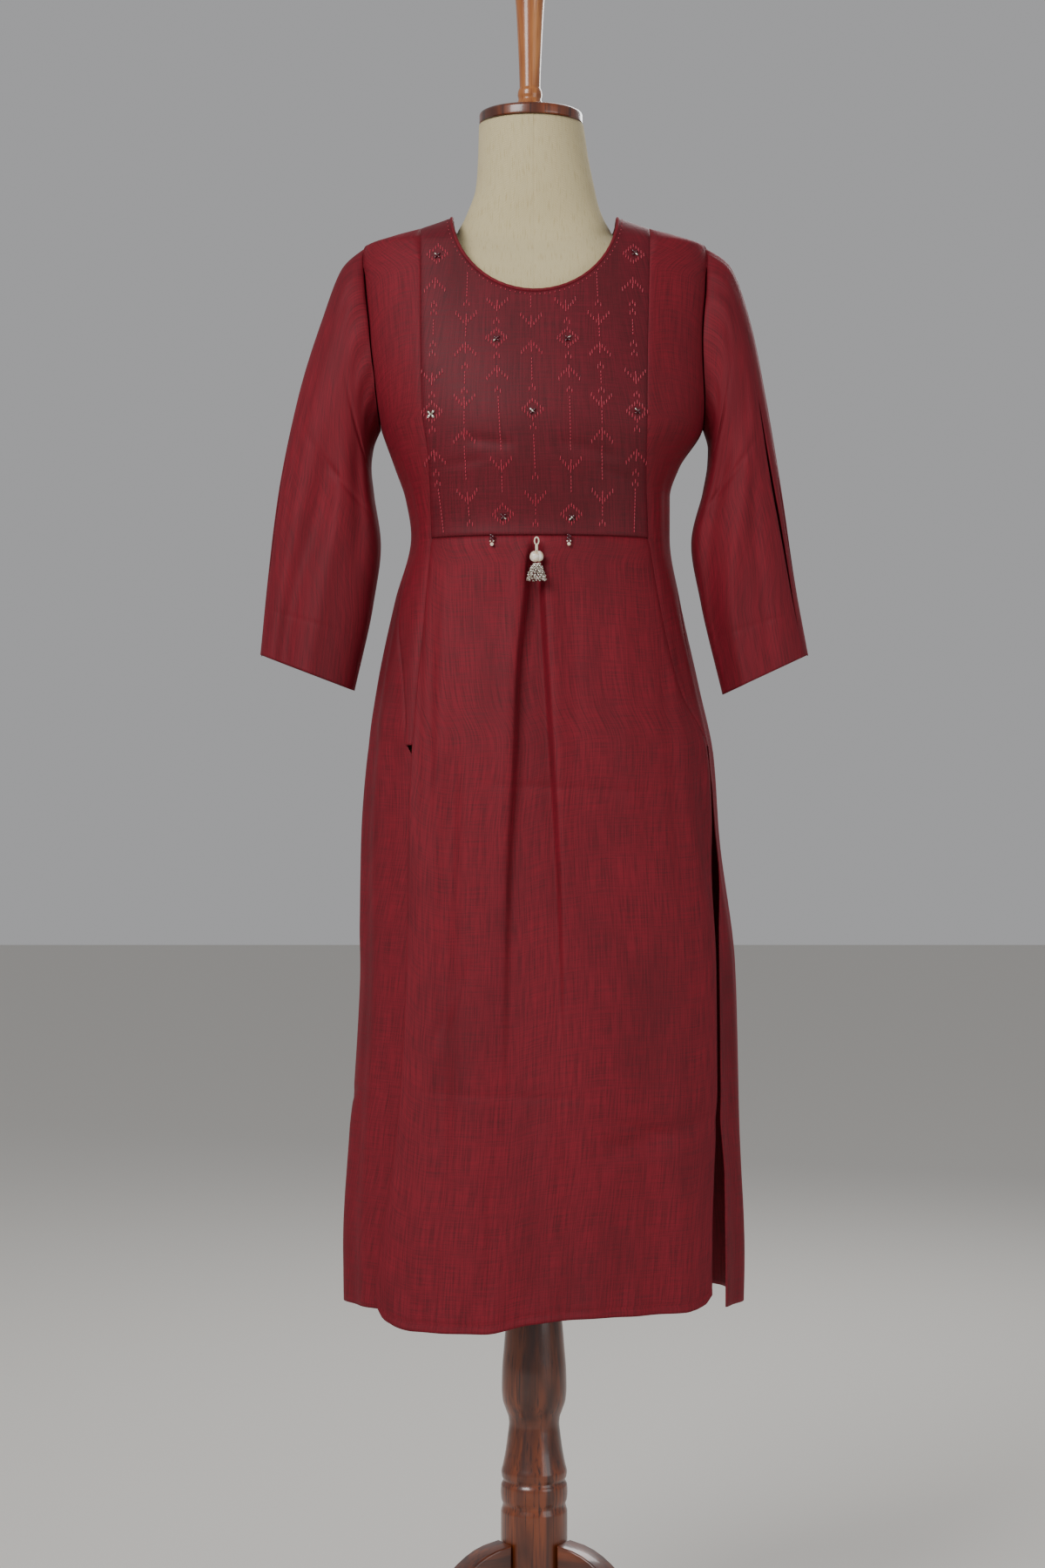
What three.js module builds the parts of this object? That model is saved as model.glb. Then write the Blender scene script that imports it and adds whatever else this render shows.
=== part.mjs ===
// Kurta tunic on a limbless dress form, in millimetres, +Z up.
// The stand's axis is the working axis. +X is the viewer's right and the wearer's left side,
// +Y points away from the viewer. At the end the group is moved so that the middle of the
// bounding box's underside is the origin.
import * as THREE from "three";

// ---------------------------------------------------------------- driving dimensions
const WALL = 1.5;              // cloth with its turned seam allowances
const SEAM_INSET = 0.25;       // each panel stops this short of the seam line
const RIDGE_INSET = 1.1;       // and this short of the shoulder seam, where the cloth bends most
const ROUNDNESS = 2.3;         // exponent of the body's oval sections
const YOKE_SEAM_Z = 1193;      // bottom edge of the embroidered yoke
const NECK_HALF_WIDTH = 86;
const NECK_SIDE_Z = 1527;      // high point of the shoulder
const NECK_FRONT_DROP = 88;
const NECK_BACK_DROP = 30;
const UNDERARM_Z = 1310;
const SHOULDER_POINT_Z = 1498;
const ARMHOLE_CUT_IN = 0.07;   // how far the armhole curves in, as a share of the half width
const SLIT_TOP_Z = 984;
const SLIT_UNDERLAP = 12;      // the back panel runs this far under the front at the left slit
const ARMHOLE_GAP = 3;         // from the armhole's edge out to the sleeve's first ring
const SLIT_STEP = 3.6;         // and lies this far behind it
const FORM_BOTTOM_Z = 868;
const FORM_TOP_Z = 1624;
const COLUMN_RADIUS = 34.4;
const LEG_WIDTH = 30;
const LEG_REACH = 292;

const CLOTH = { color: 0x7a1a28, roughness: 0.85, metalness: 0 };
const YOKE_CLOTH = { color: 0x6e1826, roughness: 0.8, metalness: 0 };
const FORM_CLOTH = { color: 0xd2c498, roughness: 0.9, metalness: 0 };
const DARK_WOOD = { color: 0x6e3414, roughness: 0.35, metalness: 0 };
const PALE_WOOD = { color: 0xb5713a, roughness: 0.4, metalness: 0 };
const PEARL = { color: 0xe9e0cf, roughness: 0.3, metalness: 0 };
const SILVER_BEAD = { color: 0xb9b2a4, roughness: 0.3, metalness: 0.8 };
const DARK_BEAD = { color: 0x4a1018, roughness: 0.3, metalness: 0 };
const CORD = { color: 0xe6dcc6, roughness: 0.8, metalness: 0 };

const tunic = new THREE.Group();

function addMesh(name, geometry, look) {
  const mesh = new THREE.Mesh(geometry, new THREE.MeshStandardMaterial(look));
  mesh.name = name;
  tunic.add(mesh);
  return mesh;
}

// ---------------------------------------------------------------- tables read as smooth curves
// A table is a list of columns' names and rows in rising order of the first column.
function makeTable(names, rows) {
  return { names, rows };
}

// Monotone cubic reading: it never runs past the values that the rows give.
function readTable(table, name, at) {
  const rows = table.rows;
  const column = table.names.indexOf(name);
  if (at <= rows[0][0]) return rows[0][column];
  const last = rows.length - 1;
  if (at >= rows[last][0]) return rows[last][column];
  let k = 0;
  while (at > rows[k + 1][0]) k += 1;
  const slope = (i) => (rows[i + 1][column] - rows[i][column]) / (rows[i + 1][0] - rows[i][0]);
  const tangent = (i) => {
    if (i === 0) return slope(0);
    if (i === last) return slope(last - 1);
    const before = slope(i - 1);
    const after = slope(i);
    return before * after <= 0 ? 0 : (2 * before * after) / (before + after);
  };
  const span = rows[k + 1][0] - rows[k][0];
  const t = (at - rows[k][0]) / span;
  const t2 = t * t;
  const t3 = t2 * t;
  return (2 * t3 - 3 * t2 + 1) * rows[k][column] + (t3 - 2 * t2 + t) * span * tangent(k)
    + (3 * t2 - 2 * t3) * rows[k + 1][column] + (t3 - t2) * span * tangent(k + 1);
}

const mix = (a, b, t) => a + (b - a) * t;
function smoothStep(from, to, value) {
  const t = Math.min(1, Math.max(0, (value - from) / (to - from)));
  return t * t * (3 - 2 * t);
}
const bell = (value, middle, width) => Math.exp(-(((value - middle) / width) ** 2));

// ---------------------------------------------------------------- the tunic's body
// Outside of the cloth at each height: where the oval ends left and right, and its depth.
const BODY = makeTable(["z", "left", "right", "front", "back"], [
  [385, -198, 215, 126, 122],
  [468, -198, 217, 124, 121],
  [594, -190, 212, 121, 118],
  [756, -180, 207, 119, 116],
  [891, -177, 190, 117, 117],
  [972, -171, 184, 115, 116],
  [1048, -160, 168, 110, 110],
  [1134, -143, 150, 103, 95],
  [1200, -127, 140, 103, 86],
  [1239, -133, 140, 112, 90],
  [1271, -144, 150, 121, 96],
  [1310, -158, 174, 126, 101],
  [1350, -170, 181, 121, 104],
  [1400, -180, 184, 107, 104],
  [1440, -182, 185, 93, 99],
  [1470, -180, 182, 81, 92],
  [1498, -174, 176, 69, 80],
  [1507, -150, 152, 63, 73],
  [1516, -118, 119, 57, 65],
  [1527, -86, 87, 50, 56],
]);

// The body's oval at one height; turn 0 is the front centre, 90 the right side, 180 the back.
function ovalAt(z) {
  const left = readTable(BODY, "left", z);
  const right = readTable(BODY, "right", z);
  return {
    middle: (left + right) / 2,
    half: (right - left) / 2,
    front: readTable(BODY, "front", z),
    back: readTable(BODY, "back", z),
  };
}

const soften = (value) => Math.sign(value) * Math.abs(value) ** (2 / ROUNDNESS);

function turnOfX(x, z, onBack = false) {
  const oval = ovalAt(z);
  const share = Math.min(1, Math.abs(x - oval.middle) / oval.half);
  const turn = THREE.MathUtils.radToDeg(Math.asin(share ** (ROUNDNESS / 2)));
  const signed = Math.sign(x - oval.middle) * turn;
  if (!onBack) return signed;
  return signed >= 0 ? 180 - signed : -180 - signed;
}

function xOfTurn(turn, z) {
  const oval = ovalAt(z);
  return oval.middle + oval.half * soften(Math.sin(THREE.MathUtils.degToRad(turn)));
}

// Soft folds of the skirt, as millimetres in or out of the oval.
const PLEAT_EDGES = makeTable(["z", "left", "right"], [
  [640, -30, 30],
  [850, -26, 24],
  [960, -20, 18],
  [1060, -16, 12],
  [1130, -9, 8],
  [1193, -3, 6],
]);

function frontFold(x, z) {
  const below = smoothStep(YOKE_SEAM_Z + 2, YOKE_SEAM_Z - 30, z);
  const left = readTable(PLEAT_EDGES, "left", z);
  const right = readTable(PLEAT_EDGES, "right", z);
  const inPleat = smoothStep(left - 6, left + 6, x) * smoothStep(right + 6, right - 6, x);
  const pleatDepth = 9 * below * smoothStep(560, 1000, z);
  let fold = -pleatDepth * inPleat;
  fold += 2.5 * below * smoothStep(700, 1050, z) * (bell(x, left - 8, 9) + bell(x, right + 8, 9));
  fold -= 5 * bell(x, -90 + (z - 800) * 0.02, 13) * smoothStep(480, 640, z) * smoothStep(1000, 900, z);
  fold -= 3 * bell(x, 6, 22) * smoothStep(560, 420, z);
  fold += 3 * bell(x, -60, 24) * smoothStep(900, 600, z);
  fold += 3 * bell(x, 62, 30) * smoothStep(900, 600, z);
  fold -= 3 * bell(x, 118, 20) * smoothStep(820, 600, z);
  fold -= 3 * bell(z, 590 + (x - 110) * 0.25, 13) * smoothStep(50, 90, x);
  return fold;
}

function backFold(x, z) {
  const lower = smoothStep(1040, 620, z);
  const wave = Math.cos((x + 12) * 0.062) * 4 + Math.cos((x - 40) * 0.031 + 1) * 3;
  const waist = -2.5 * bell(z, 1205, 22) * bell(x, -55, 40) - 2 * bell(z, 1222, 14) * bell(x, 60, 45);
  return lower * wave + waist;
}

// A point of the outer cloth, moved in or out of the oval along its horizontal normal.
function bodyPoint(turn, z, inward = 0) {
  const oval = ovalAt(z);
  const angle = THREE.MathUtils.degToRad(turn);
  const isFront = Math.cos(angle) >= 0;
  const depth = isFront ? oval.front : oval.back;
  const x = oval.middle + oval.half * soften(Math.sin(angle));
  const y = -depth * soften(Math.cos(angle));
  const outX = Math.sign(x - oval.middle) * (Math.abs(x - oval.middle) / oval.half) ** (ROUNDNESS - 1) / oval.half;
  const outY = Math.sign(y) * (Math.abs(y) / depth) ** (ROUNDNESS - 1) / depth;
  const size = Math.hypot(outX, outY) || 1;
  const facing = Math.cos(angle) ** 2;
  const fold = (isFront ? frontFold(x, z) : backFold(x, z)) * smoothStep(0.1, 0.5, facing) - inward;
  return new THREE.Vector3(x + (outX / size) * fold, y + (outY / size) * fold, z);
}

// ---------------------------------------------------------------- closed shells
// surface(u, v) gives a point with u and v from 0 to 1; its normal u x v points out of the cloth.
// skipped(i, j) leaves a cell open, and wrapU joins the last column to the first.
function clothShell(surface, columns, rows, options = {}) {
  const { wrapU = false, skipped = () => false, topInset = SEAM_INSET } = options;
  const uAt = options.uAt ?? ((i) => i / columns);
  const vAt = (j) => j / rows;
  const step = 1e-3;
  const outer = [];
  const inner = [];
  const width = wrapU ? columns : columns + 1;
  const pointAt = (i, j) => surface(uAt(i), vAt(j));
  for (let j = 0; j <= rows; j += 1) {
    for (let i = 0; i < width; i += 1) {
      const u = uAt(i);
      const v = vAt(j);
      const lowU = wrapU ? u - step : Math.max(0, u - step);
      const highU = wrapU ? u + step : Math.min(1, u + step);
      const alongU = surface(highU, v).sub(surface(lowU, v));
      const alongV = surface(u, Math.min(1, v + step)).sub(surface(u, Math.max(0, v - step)));
      const normal = alongU.cross(alongV).normalize();
      const point = pointAt(i, j);
      const inset = new THREE.Vector3();
      const pullTo = (k, m, size) => inset.addScaledVector(pointAt(k, m).sub(point).normalize(), size);
      if (!wrapU && i === 0) pullTo(1, j, SEAM_INSET);
      if (!wrapU && i === columns) pullTo(columns - 1, j, SEAM_INSET);
      if (j === 0) pullTo(i, 1, SEAM_INSET);
      if (j === rows) pullTo(i, rows - 1, topInset);
      point.add(inset);
      outer.push(point);
      inner.push(point.clone().addScaledVector(normal, -WALL));
    }
  }
  const positions = [];
  const put = (...points) => points.forEach((p) => positions.push(p.x, p.y, p.z));
  const quad = (a, b, c, d) => {
    put(a, b, c);
    put(a, c, d);
  };
  const index = (i, j) => j * width + (wrapU ? (i + columns) % columns : i);
  const isCell = (i, j) => {
    if (j < 0 || j >= rows) return false;
    if (!wrapU && (i < 0 || i >= columns)) return false;
    return !skipped(wrapU ? (i + columns) % columns : i, j);
  };
  for (let j = 0; j < rows; j += 1) {
    for (let i = 0; i < columns; i += 1) {
      if (!isCell(i, j)) continue;
      const corners = [index(i, j), index(i + 1, j), index(i + 1, j + 1), index(i, j + 1)];
      const [a, b, c, d] = corners.map((k) => outer[k]);
      const [e, f, g, h] = corners.map((k) => inner[k]);
      quad(a, b, c, d);
      quad(h, g, f, e);
      if (!isCell(i, j - 1)) quad(e, f, b, a);
      if (!isCell(i + 1, j)) quad(f, g, c, b);
      if (!isCell(i, j + 1)) quad(g, h, d, c);
      if (!isCell(i - 1, j)) quad(h, e, a, d);
    }
  }
  const geometry = new THREE.BufferGeometry();
  geometry.setAttribute("position", new THREE.Float32BufferAttribute(positions, 3));
  geometry.computeVertexNormals();
  return geometry;
}

// ---------------------------------------------------------------- seam lines
// The front skirt's two side edges: princess seams above the slit tops, free slit edges below.
const FRONT_EDGES = makeTable(["z", "left", "right"], [
  [400, -165, 180],
  [487, -154, 179],
  [560, -142, 181],
  [640, -134, 184],
  [770, -128, 184],
  [870, -127, 180],
  [922, -126, 179],
  [984, -123, 174],
  [1046, -119, 147],
  [1125, -111, 128],
  [1193, -105, 116],
]);

// The yoke's side seams, from the bust seam up to the shoulder.
const YOKE_EDGES = makeTable(["z", "left", "right"], [
  [1193, -105, 116],
  [1270, -107, 113],
  [1318, -113, 113],
  [1516, -116, 118],
]);

// Where the back panel's free edge lies in the right slit.
const BACK_SLIT_EDGE = makeTable(["z", "right"], [
  [400, 193],
  [548, 193],
  [604, 189],
  [760, 189],
  [875, 187],
  [984, 176],
]);

const innerEdge = (z, side) => readTable(z <= YOKE_SEAM_Z ? FRONT_EDGES : YOKE_EDGES, side, z);

// The side seam's turn: at the side under the arm, swung forward to the slit's top.
function sideSeamTurn(z, side) {
  const sign = side === "left" ? -1 : 1;
  const slitTurn = Math.abs(turnOfX(innerEdge(SLIT_TOP_Z, side), SLIT_TOP_Z));
  return sign * mix(slitTurn + 4, 90, smoothStep(SLIT_TOP_Z, UNDERARM_Z - 60, z));
}

function armholeX(z, side) {
  const oval = ovalAt(z);
  const along = (z - UNDERARM_Z) / (SHOULDER_POINT_Z - UNDERARM_Z);
  const share = 1 - ARMHOLE_CUT_IN * Math.sin(Math.PI * Math.min(1, Math.max(0, along)));
  return oval.middle + (side === "left" ? -1 : 1) * oval.half * share;
}

// Height of the shoulder ridge above a place across the body.
function ridgeZ(x) {
  const side = x < 0 ? "left" : "right";
  let low = SHOULDER_POINT_Z;
  let high = NECK_SIDE_Z;
  for (let pass = 0; pass < 30; pass += 1) {
    const z = (low + high) / 2;
    if (Math.abs(readTable(BODY, side, z)) > Math.abs(x)) low = z;
    else high = z;
  }
  return (low + high) / 2;
}

// Rows of neighbouring panels meet at the same heights, because each panel's height
// is counted in the same bands: hem to slit top, slit top to bust seam, bust seam to top.
const ROWS_BELOW_SLIT_TOP = 13;
const ROWS_BELOW_YOKE = 5;
const ROWS_ABOVE_YOKE = 9;

function bandedZ(v, levels, counts) {
  const total = counts.reduce((sum, count) => sum + count, 0);
  let rowsLeft = v * total;
  for (let k = 0; k < counts.length; k += 1) {
    if (rowsLeft <= counts[k] || k === counts.length - 1) return mix(levels[k], levels[k + 1], rowsLeft / counts[k]);
    rowsLeft -= counts[k];
  }
  return levels[levels.length - 1];
}

const necklineX = (angle) => -NECK_HALF_WIDTH * Math.cos(angle) + 0.5;
const necklineZ = (angle, drop) => NECK_SIDE_Z - drop * Math.sin(angle);

// ---------------------------------------------------------------- front yoke
// Its top edge runs along one shoulder, round the scooped neck and along the other shoulder.
const SHOULDER_SHARE = 0.1;

function yokeTop(u) {
  const leftEnd = YOKE_EDGES.rows[3][1];
  const rightEnd = YOKE_EDGES.rows[3][2];
  if (u < SHOULDER_SHARE) {
    const x = mix(leftEnd, necklineX(0), u / SHOULDER_SHARE);
    return { x, z: ridgeZ(x) };
  }
  if (u > 1 - SHOULDER_SHARE) {
    const x = mix(necklineX(Math.PI), rightEnd, (u - 1 + SHOULDER_SHARE) / SHOULDER_SHARE);
    return { x, z: ridgeZ(x) };
  }
  const angle = (Math.PI * (u - SHOULDER_SHARE)) / (1 - 2 * SHOULDER_SHARE);
  return { x: necklineX(angle), z: necklineZ(angle, NECK_FRONT_DROP) };
}

function yokePoint(u, v) {
  const top = yokeTop(u);
  const z = mix(YOKE_SEAM_Z, top.z, v);
  const plain = mix(innerEdge(z + 0.001, "left"), innerEdge(z + 0.001, "right"), u);
  const plainTop = mix(innerEdge(top.z, "left"), innerEdge(top.z, "right"), u);
  const x = plain + (top.x - plainTop) * v ** 1.6;
  return bodyPoint(turnOfX(x, z), z);
}

addMesh("front_yoke", clothShell(yokePoint, 20, ROWS_ABOVE_YOKE, { topInset: RIDGE_INSET }), YOKE_CLOTH);

// ---------------------------------------------------------------- front skirt
// One panel from slit to slit, with an inverted box pleat below the middle of the yoke.
const HEM = makeTable(["x", "front"], [
  [-165, 424],
  [-152, 408],
  [-120, 399],
  [-50, 400],
  [-5, 409],
  [60, 416],
  [150, 417],
  [172, 422],
  [182, 434],
]);
const BACK_HEM_Z = 417;

function frontSkirtPoint(u, v) {
  const hemX = mix(FRONT_EDGES.rows[0][1], FRONT_EDGES.rows[0][2], u);
  const levels = [readTable(HEM, "front", hemX), SLIT_TOP_Z, YOKE_SEAM_Z];
  const z = bandedZ(v, levels, [ROWS_BELOW_SLIT_TOP, ROWS_BELOW_YOKE]);
  const x = mix(readTable(FRONT_EDGES, "left", z), readTable(FRONT_EDGES, "right", z), u);
  return bodyPoint(turnOfX(x, z), z);
}

// Columns crowd towards the pleat, which lies a little left of the panel's middle.
const SKIRT_COLUMNS = 26;
const PLEAT_SHARE = 0.46;

function skirtU(i) {
  const t = i / SKIRT_COLUMNS;
  const crowd = (share) => -0.05 * Math.sin(2 * Math.PI * (share - PLEAT_SHARE));
  return (t + crowd(t) - crowd(0)) / (1 + crowd(1) - crowd(0));
}

const skirtRows = ROWS_BELOW_SLIT_TOP + ROWS_BELOW_YOKE;
addMesh("front_skirt", clothShell(frontSkirtPoint, SKIRT_COLUMNS, skirtRows, { uAt: skirtU }), CLOTH);

// ---------------------------------------------------------------- side fronts
// A long gusset each side: shoulder and armhole at the top, closing to the slit's top.
function sideFrontPoint(side, across, v) {
  const topX = mix(side === "left" ? -174 : 176, side === "left" ? -116 : 118, across);
  const z = bandedZ(v, [SLIT_TOP_Z, YOKE_SEAM_Z, ridgeZ(topX)], [ROWS_BELOW_YOKE, ROWS_ABOVE_YOKE]);
  const outerTurn = z < UNDERARM_Z ? sideSeamTurn(z, side) : turnOfX(armholeX(z, side), z);
  const innerTurn = turnOfX(innerEdge(z, side), z);
  const sign = side === "left" ? -1 : 1;
  const interior = smoothStep(0.9, 1, v) * Math.min(1, 6 * across, 6 * (1 - across));
  const turn = mix(mix(outerTurn, innerTurn, across), sign * 90, interior);
  return bodyPoint(turn, z);
}

const sideFrontLeft = (u, v) => sideFrontPoint("left", u, v);
const sideFrontRight = (u, v) => sideFrontPoint("right", 1 - u, v);
const sideRows = ROWS_BELOW_YOKE + ROWS_ABOVE_YOKE;
addMesh("side_front_left", clothShell(sideFrontLeft, 5, sideRows, { topInset: RIDGE_INSET }), CLOTH);
addMesh("side_front_right", clothShell(sideFrontRight, 5, sideRows, { topInset: RIDGE_INSET }), CLOTH);

// ---------------------------------------------------------------- back
// One panel round from the right side seam to the left one, with the shallow back neck.
function backEdgeTurn(z, side) {
  if (z > UNDERARM_Z) {
    const turn = turnOfX(armholeX(z, side), z, true);
    return side === "left" ? 360 + turn : turn;
  }
  if (z > SLIT_TOP_Z) return side === "left" ? 360 + sideSeamTurn(z, side) : sideSeamTurn(z, side);
  const slitX = xOfTurn(sideSeamTurn(SLIT_TOP_Z, side), SLIT_TOP_Z);
  const stepped = smoothStep(SLIT_TOP_Z, SLIT_TOP_Z - 50, z);
  if (side === "right") return turnOfX(mix(slitX, readTable(BACK_SLIT_EDGE, "right", z), stepped), z);
  const lapped = SLIT_UNDERLAP * smoothStep(SLIT_TOP_Z - 50, SLIT_TOP_Z - 120, z);
  return 360 + turnOfX(mix(slitX, readTable(FRONT_EDGES, "left", z) - 3, stepped) + lapped, z);
}

const TOP_SHARE = 0.8;         // above this share of its rows the back's columns lean to their top places
const backBands = [ROWS_BELOW_SLIT_TOP, ROWS_BELOW_YOKE, ROWS_ABOVE_YOKE];

function backPoint(u, v) {
  const topX = mix(176, -174, u);
  const neckAngle = Math.acos(Math.min(1, Math.max(-1, -(topX - 0.5) / NECK_HALF_WIDTH)));
  const onShoulder = Math.abs(topX - 0.5) >= NECK_HALF_WIDTH;
  const topZ = onShoulder ? ridgeZ(topX) : necklineZ(neckAngle, NECK_BACK_DROP);
  const z = bandedZ(v, [BACK_HEM_Z, SLIT_TOP_Z, YOKE_SEAM_Z, topZ], backBands);
  let turn = mix(backEdgeTurn(z, "right"), backEdgeTurn(z, "left"), u);
  if (v > TOP_SHARE) {
    const plainTop = xOfTurn(mix(backEdgeTurn(topZ, "right"), backEdgeTurn(topZ, "left"), u), topZ);
    const x = xOfTurn(turn, z) + (topX - plainTop) * smoothStep(TOP_SHARE, 1, v);
    const backTurn = turnOfX(x, z, true);
    turn = backTurn < 0 ? 360 + backTurn : backTurn;
  }
  const nearLeftEdge = smoothStep(0.8, 0.95, u) * smoothStep(SLIT_TOP_Z, SLIT_TOP_Z - 50, z);
  return bodyPoint(turn, z, SLIT_STEP * nearLeftEdge);
}

const backRows = ROWS_BELOW_SLIT_TOP + ROWS_BELOW_YOKE + ROWS_ABOVE_YOKE;
addMesh("back", clothShell(backPoint, 25, backRows, { topInset: RIDGE_INSET }), CLOTH);

// ---------------------------------------------------------------- sleeves
// A tube from the armhole to the three-quarter cuff. Each row gives the outer and inner
// ends of a ring and its half depth from front to back.
const SLEEVE_LEFT = makeTable(["v", "outerX", "outerZ", "innerX", "innerZ", "depth", "back"], [
  [0, -176, 1497, -160, 1308, 52, 2],
  [0.1, -196, 1480, -166, 1292, 52, 2],
  [0.24, -220, 1420, -168, 1272, 50, 0],
  [0.4, -243, 1345, -165, 1243, 46, -2],
  [0.6, -264, 1242, -158, 1190, 42, -4],
  [0.8, -274, 1160, -166, 1128, 40, -6],
  [1, -282, 1078, -185, 1041, 36, -8],
]);
const SLEEVE_RIGHT = makeTable(["v", "outerX", "outerZ", "innerX", "innerZ", "depth", "back"], [
  [0, 178, 1497, 176, 1308, 52, 2],
  [0.1, 200, 1482, 180, 1292, 52, 2],
  [0.24, 222, 1425, 179, 1274, 50, 0],
  [0.4, 238, 1348, 174, 1246, 46, -2],
  [0.6, 256, 1240, 162, 1192, 44, -4],
  [0.8, 268, 1156, 172, 1130, 41, -6],
  [1, 282, 1078, 194, 1037, 36, -8],
]);

function sleeveFold(side, turn, v) {
  const trough = (at, width) => bell(turn, at, width);
  if (side === "left") {
    return -8 * trough(mix(88, 64, smoothStep(0.4, 0.95, v)), 16) * smoothStep(0.3, 0.6, v)
      - 4 * trough(125, 14) * smoothStep(0.2, 0.4, v) * smoothStep(0.8, 0.55, v)
      - 4 * trough(275, 20) * smoothStep(0.25, 0.6, v);
  }
  return 4 * trough(mix(62, 120, smoothStep(0.3, 0.95, v)), 14) * smoothStep(0.2, 0.45, v)
    - 8 * trough(mix(110, 150, smoothStep(0.3, 0.95, v)), 20) * smoothStep(0.25, 0.5, v) * smoothStep(1.05, 0.85, v)
    - 4 * trough(265, 22) * smoothStep(0.25, 0.6, v);
}

function sleevePoint(side, turn, v) {
  const table = side === "left" ? SLEEVE_LEFT : SLEEVE_RIGHT;
  const read = (name) => readTable(table, name, v);
  const angle = THREE.MathUtils.degToRad(turn);
  const outward = new THREE.Vector3(read("outerX") - read("innerX"), 0, read("outerZ") - read("innerZ")).multiplyScalar(0.5);
  const middle = new THREE.Vector3((read("outerX") + read("innerX")) / 2, read("back"), (read("outerZ") + read("innerZ")) / 2);
  const fold = sleeveFold(side, turn, v);
  const round = 2 / 2.2;
  const c = Math.sign(Math.cos(angle)) * Math.abs(Math.cos(angle)) ** round;
  const s = Math.sign(Math.sin(angle)) * Math.abs(Math.sin(angle)) ** round;
  const tube = middle.clone().addScaledVector(outward, c);
  tube.y -= (read("depth") + fold) * s;
  const blend = v < 0.12 ? (1 - v / 0.12) ** 2 : 0;
  if (blend === 0) return tube;
  const z = mix(UNDERARM_Z, SHOULDER_POINT_Z, (1 + Math.cos(angle)) / 2);
  const onBack = Math.sin(angle) < 0;
  const rim = bodyPoint(turnOfX(armholeX(z, side), z, onBack), z);
  rim.x += side === "left" ? -ARMHOLE_GAP : ARMHOLE_GAP;
  return tube.lerp(rim, blend);
}

// Two slashes down the outside of each sleeve leave a narrow strip between them.
const SLEEVE_COLUMNS = 20;
const SLEEVE_ROWS = 13;
const SLASH = { firstColumn: 2, secondColumn: 0, firstRows: [5, 12], secondRows: [7, 11] };

function sleeveTurn(side, i, v) {
  const columnTurn = makeTable(["i", "turn"], [
    [0, 6], [1, 13], [2, 25], [3, 32], [10, 180], [SLEEVE_COLUMNS, 366],
  ]);
  const shift = side === "left" ? -14 : 4 + 12 * smoothStep(0.8, 0.4, v);
  return readTable(columnTurn, "turn", i) + shift;
}

function sleeveSurface(side) {
  return (u, v) => {
    const i = (((u * SLEEVE_COLUMNS) % SLEEVE_COLUMNS) + SLEEVE_COLUMNS) % SLEEVE_COLUMNS;
    const turn = sleeveTurn(side, i, v);
    const point = sleevePoint(side, turn, v);
    return point;
  };
}

function sleeveShell(side) {
  const surface = sleeveSurface(side);
  const oriented = side === "left" ? surface : (u, v) => surface(-u, v);
  const skipped = (i, j) => {
    const column = side === "left" ? i : SLEEVE_COLUMNS - 1 - i;
    const inFirst = column === SLASH.firstColumn && j >= SLASH.firstRows[0] && j < SLASH.firstRows[1];
    const inSecond = column === SLASH.secondColumn && j >= SLASH.secondRows[0] && j < SLASH.secondRows[1];
    return inFirst || inSecond;
  };
  return clothShell(oriented, SLEEVE_COLUMNS, SLEEVE_ROWS, { wrapU: true, skipped });
}

addMesh("sleeve_left", sleeveShell("left"), CLOTH);
addMesh("sleeve_right", sleeveShell("right"), CLOTH);

// ---------------------------------------------------------------- neck binding
// A narrow turned edge round the whole neck, standing just inside the panels' edges.
const BINDING_RADIUS = 1.6;
const BINDING_CLEARANCE = 3.2;

class NeckLoop extends THREE.Curve {
  getPoint(t, target = new THREE.Vector3()) {
    const angle = t * 2 * Math.PI;
    const onBack = Math.sin(angle) < 0;
    const rise = Math.abs(Math.sin(angle));
    const drop = onBack ? NECK_BACK_DROP : NECK_FRONT_DROP;
    const x = necklineX(angle) * (1 - BINDING_CLEARANCE / NECK_HALF_WIDTH);
    const z = NECK_SIDE_Z - (drop - BINDING_CLEARANCE) * rise;
    const edgeZ = NECK_SIDE_Z - drop * rise;
    const edge = bodyPoint(turnOfX(necklineX(angle), edgeZ, onBack), edgeZ);
    const lean = onBack ? -1 : 1;
    return target.set(x, edge.y + lean * BINDING_CLEARANCE * 0.55 * rise ** 2, z - 0.8);
  }
}

function closedRing(curve, radius, sides, steps) {
  const positions = [];
  const ring = (k) => {
    const t = (k % steps) / steps;
    const centre = curve.getPoint(t);
    const tangent = curve.getPoint((t + 1e-3) % 1).sub(curve.getPoint((t + 1 - 1e-3) % 1)).normalize();
    const side = new THREE.Vector3(0, 0, 1).cross(tangent).normalize();
    const up = tangent.clone().cross(side);
    return (m) => {
      const angle = (2 * Math.PI * m) / sides;
      return centre.clone().addScaledVector(side, radius * Math.cos(angle)).addScaledVector(up, radius * Math.sin(angle));
    };
  };
  for (let k = 0; k < steps; k += 1) {
    const here = ring(k);
    const next = ring(k + 1);
    for (let m = 0; m < sides; m += 1) {
      const [a, b, c, d] = [here(m), here(m + 1), next(m + 1), next(m)];
      for (const p of [a, b, c, a, c, d]) positions.push(p.x, p.y, p.z);
    }
  }
  const geometry = new THREE.BufferGeometry();
  geometry.setAttribute("position", new THREE.Float32BufferAttribute(positions, 3));
  geometry.computeVertexNormals();
  return geometry;
}

addMesh("neck_binding", closedRing(new NeckLoop(), BINDING_RADIUS, 6, 48), CLOTH);

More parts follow.
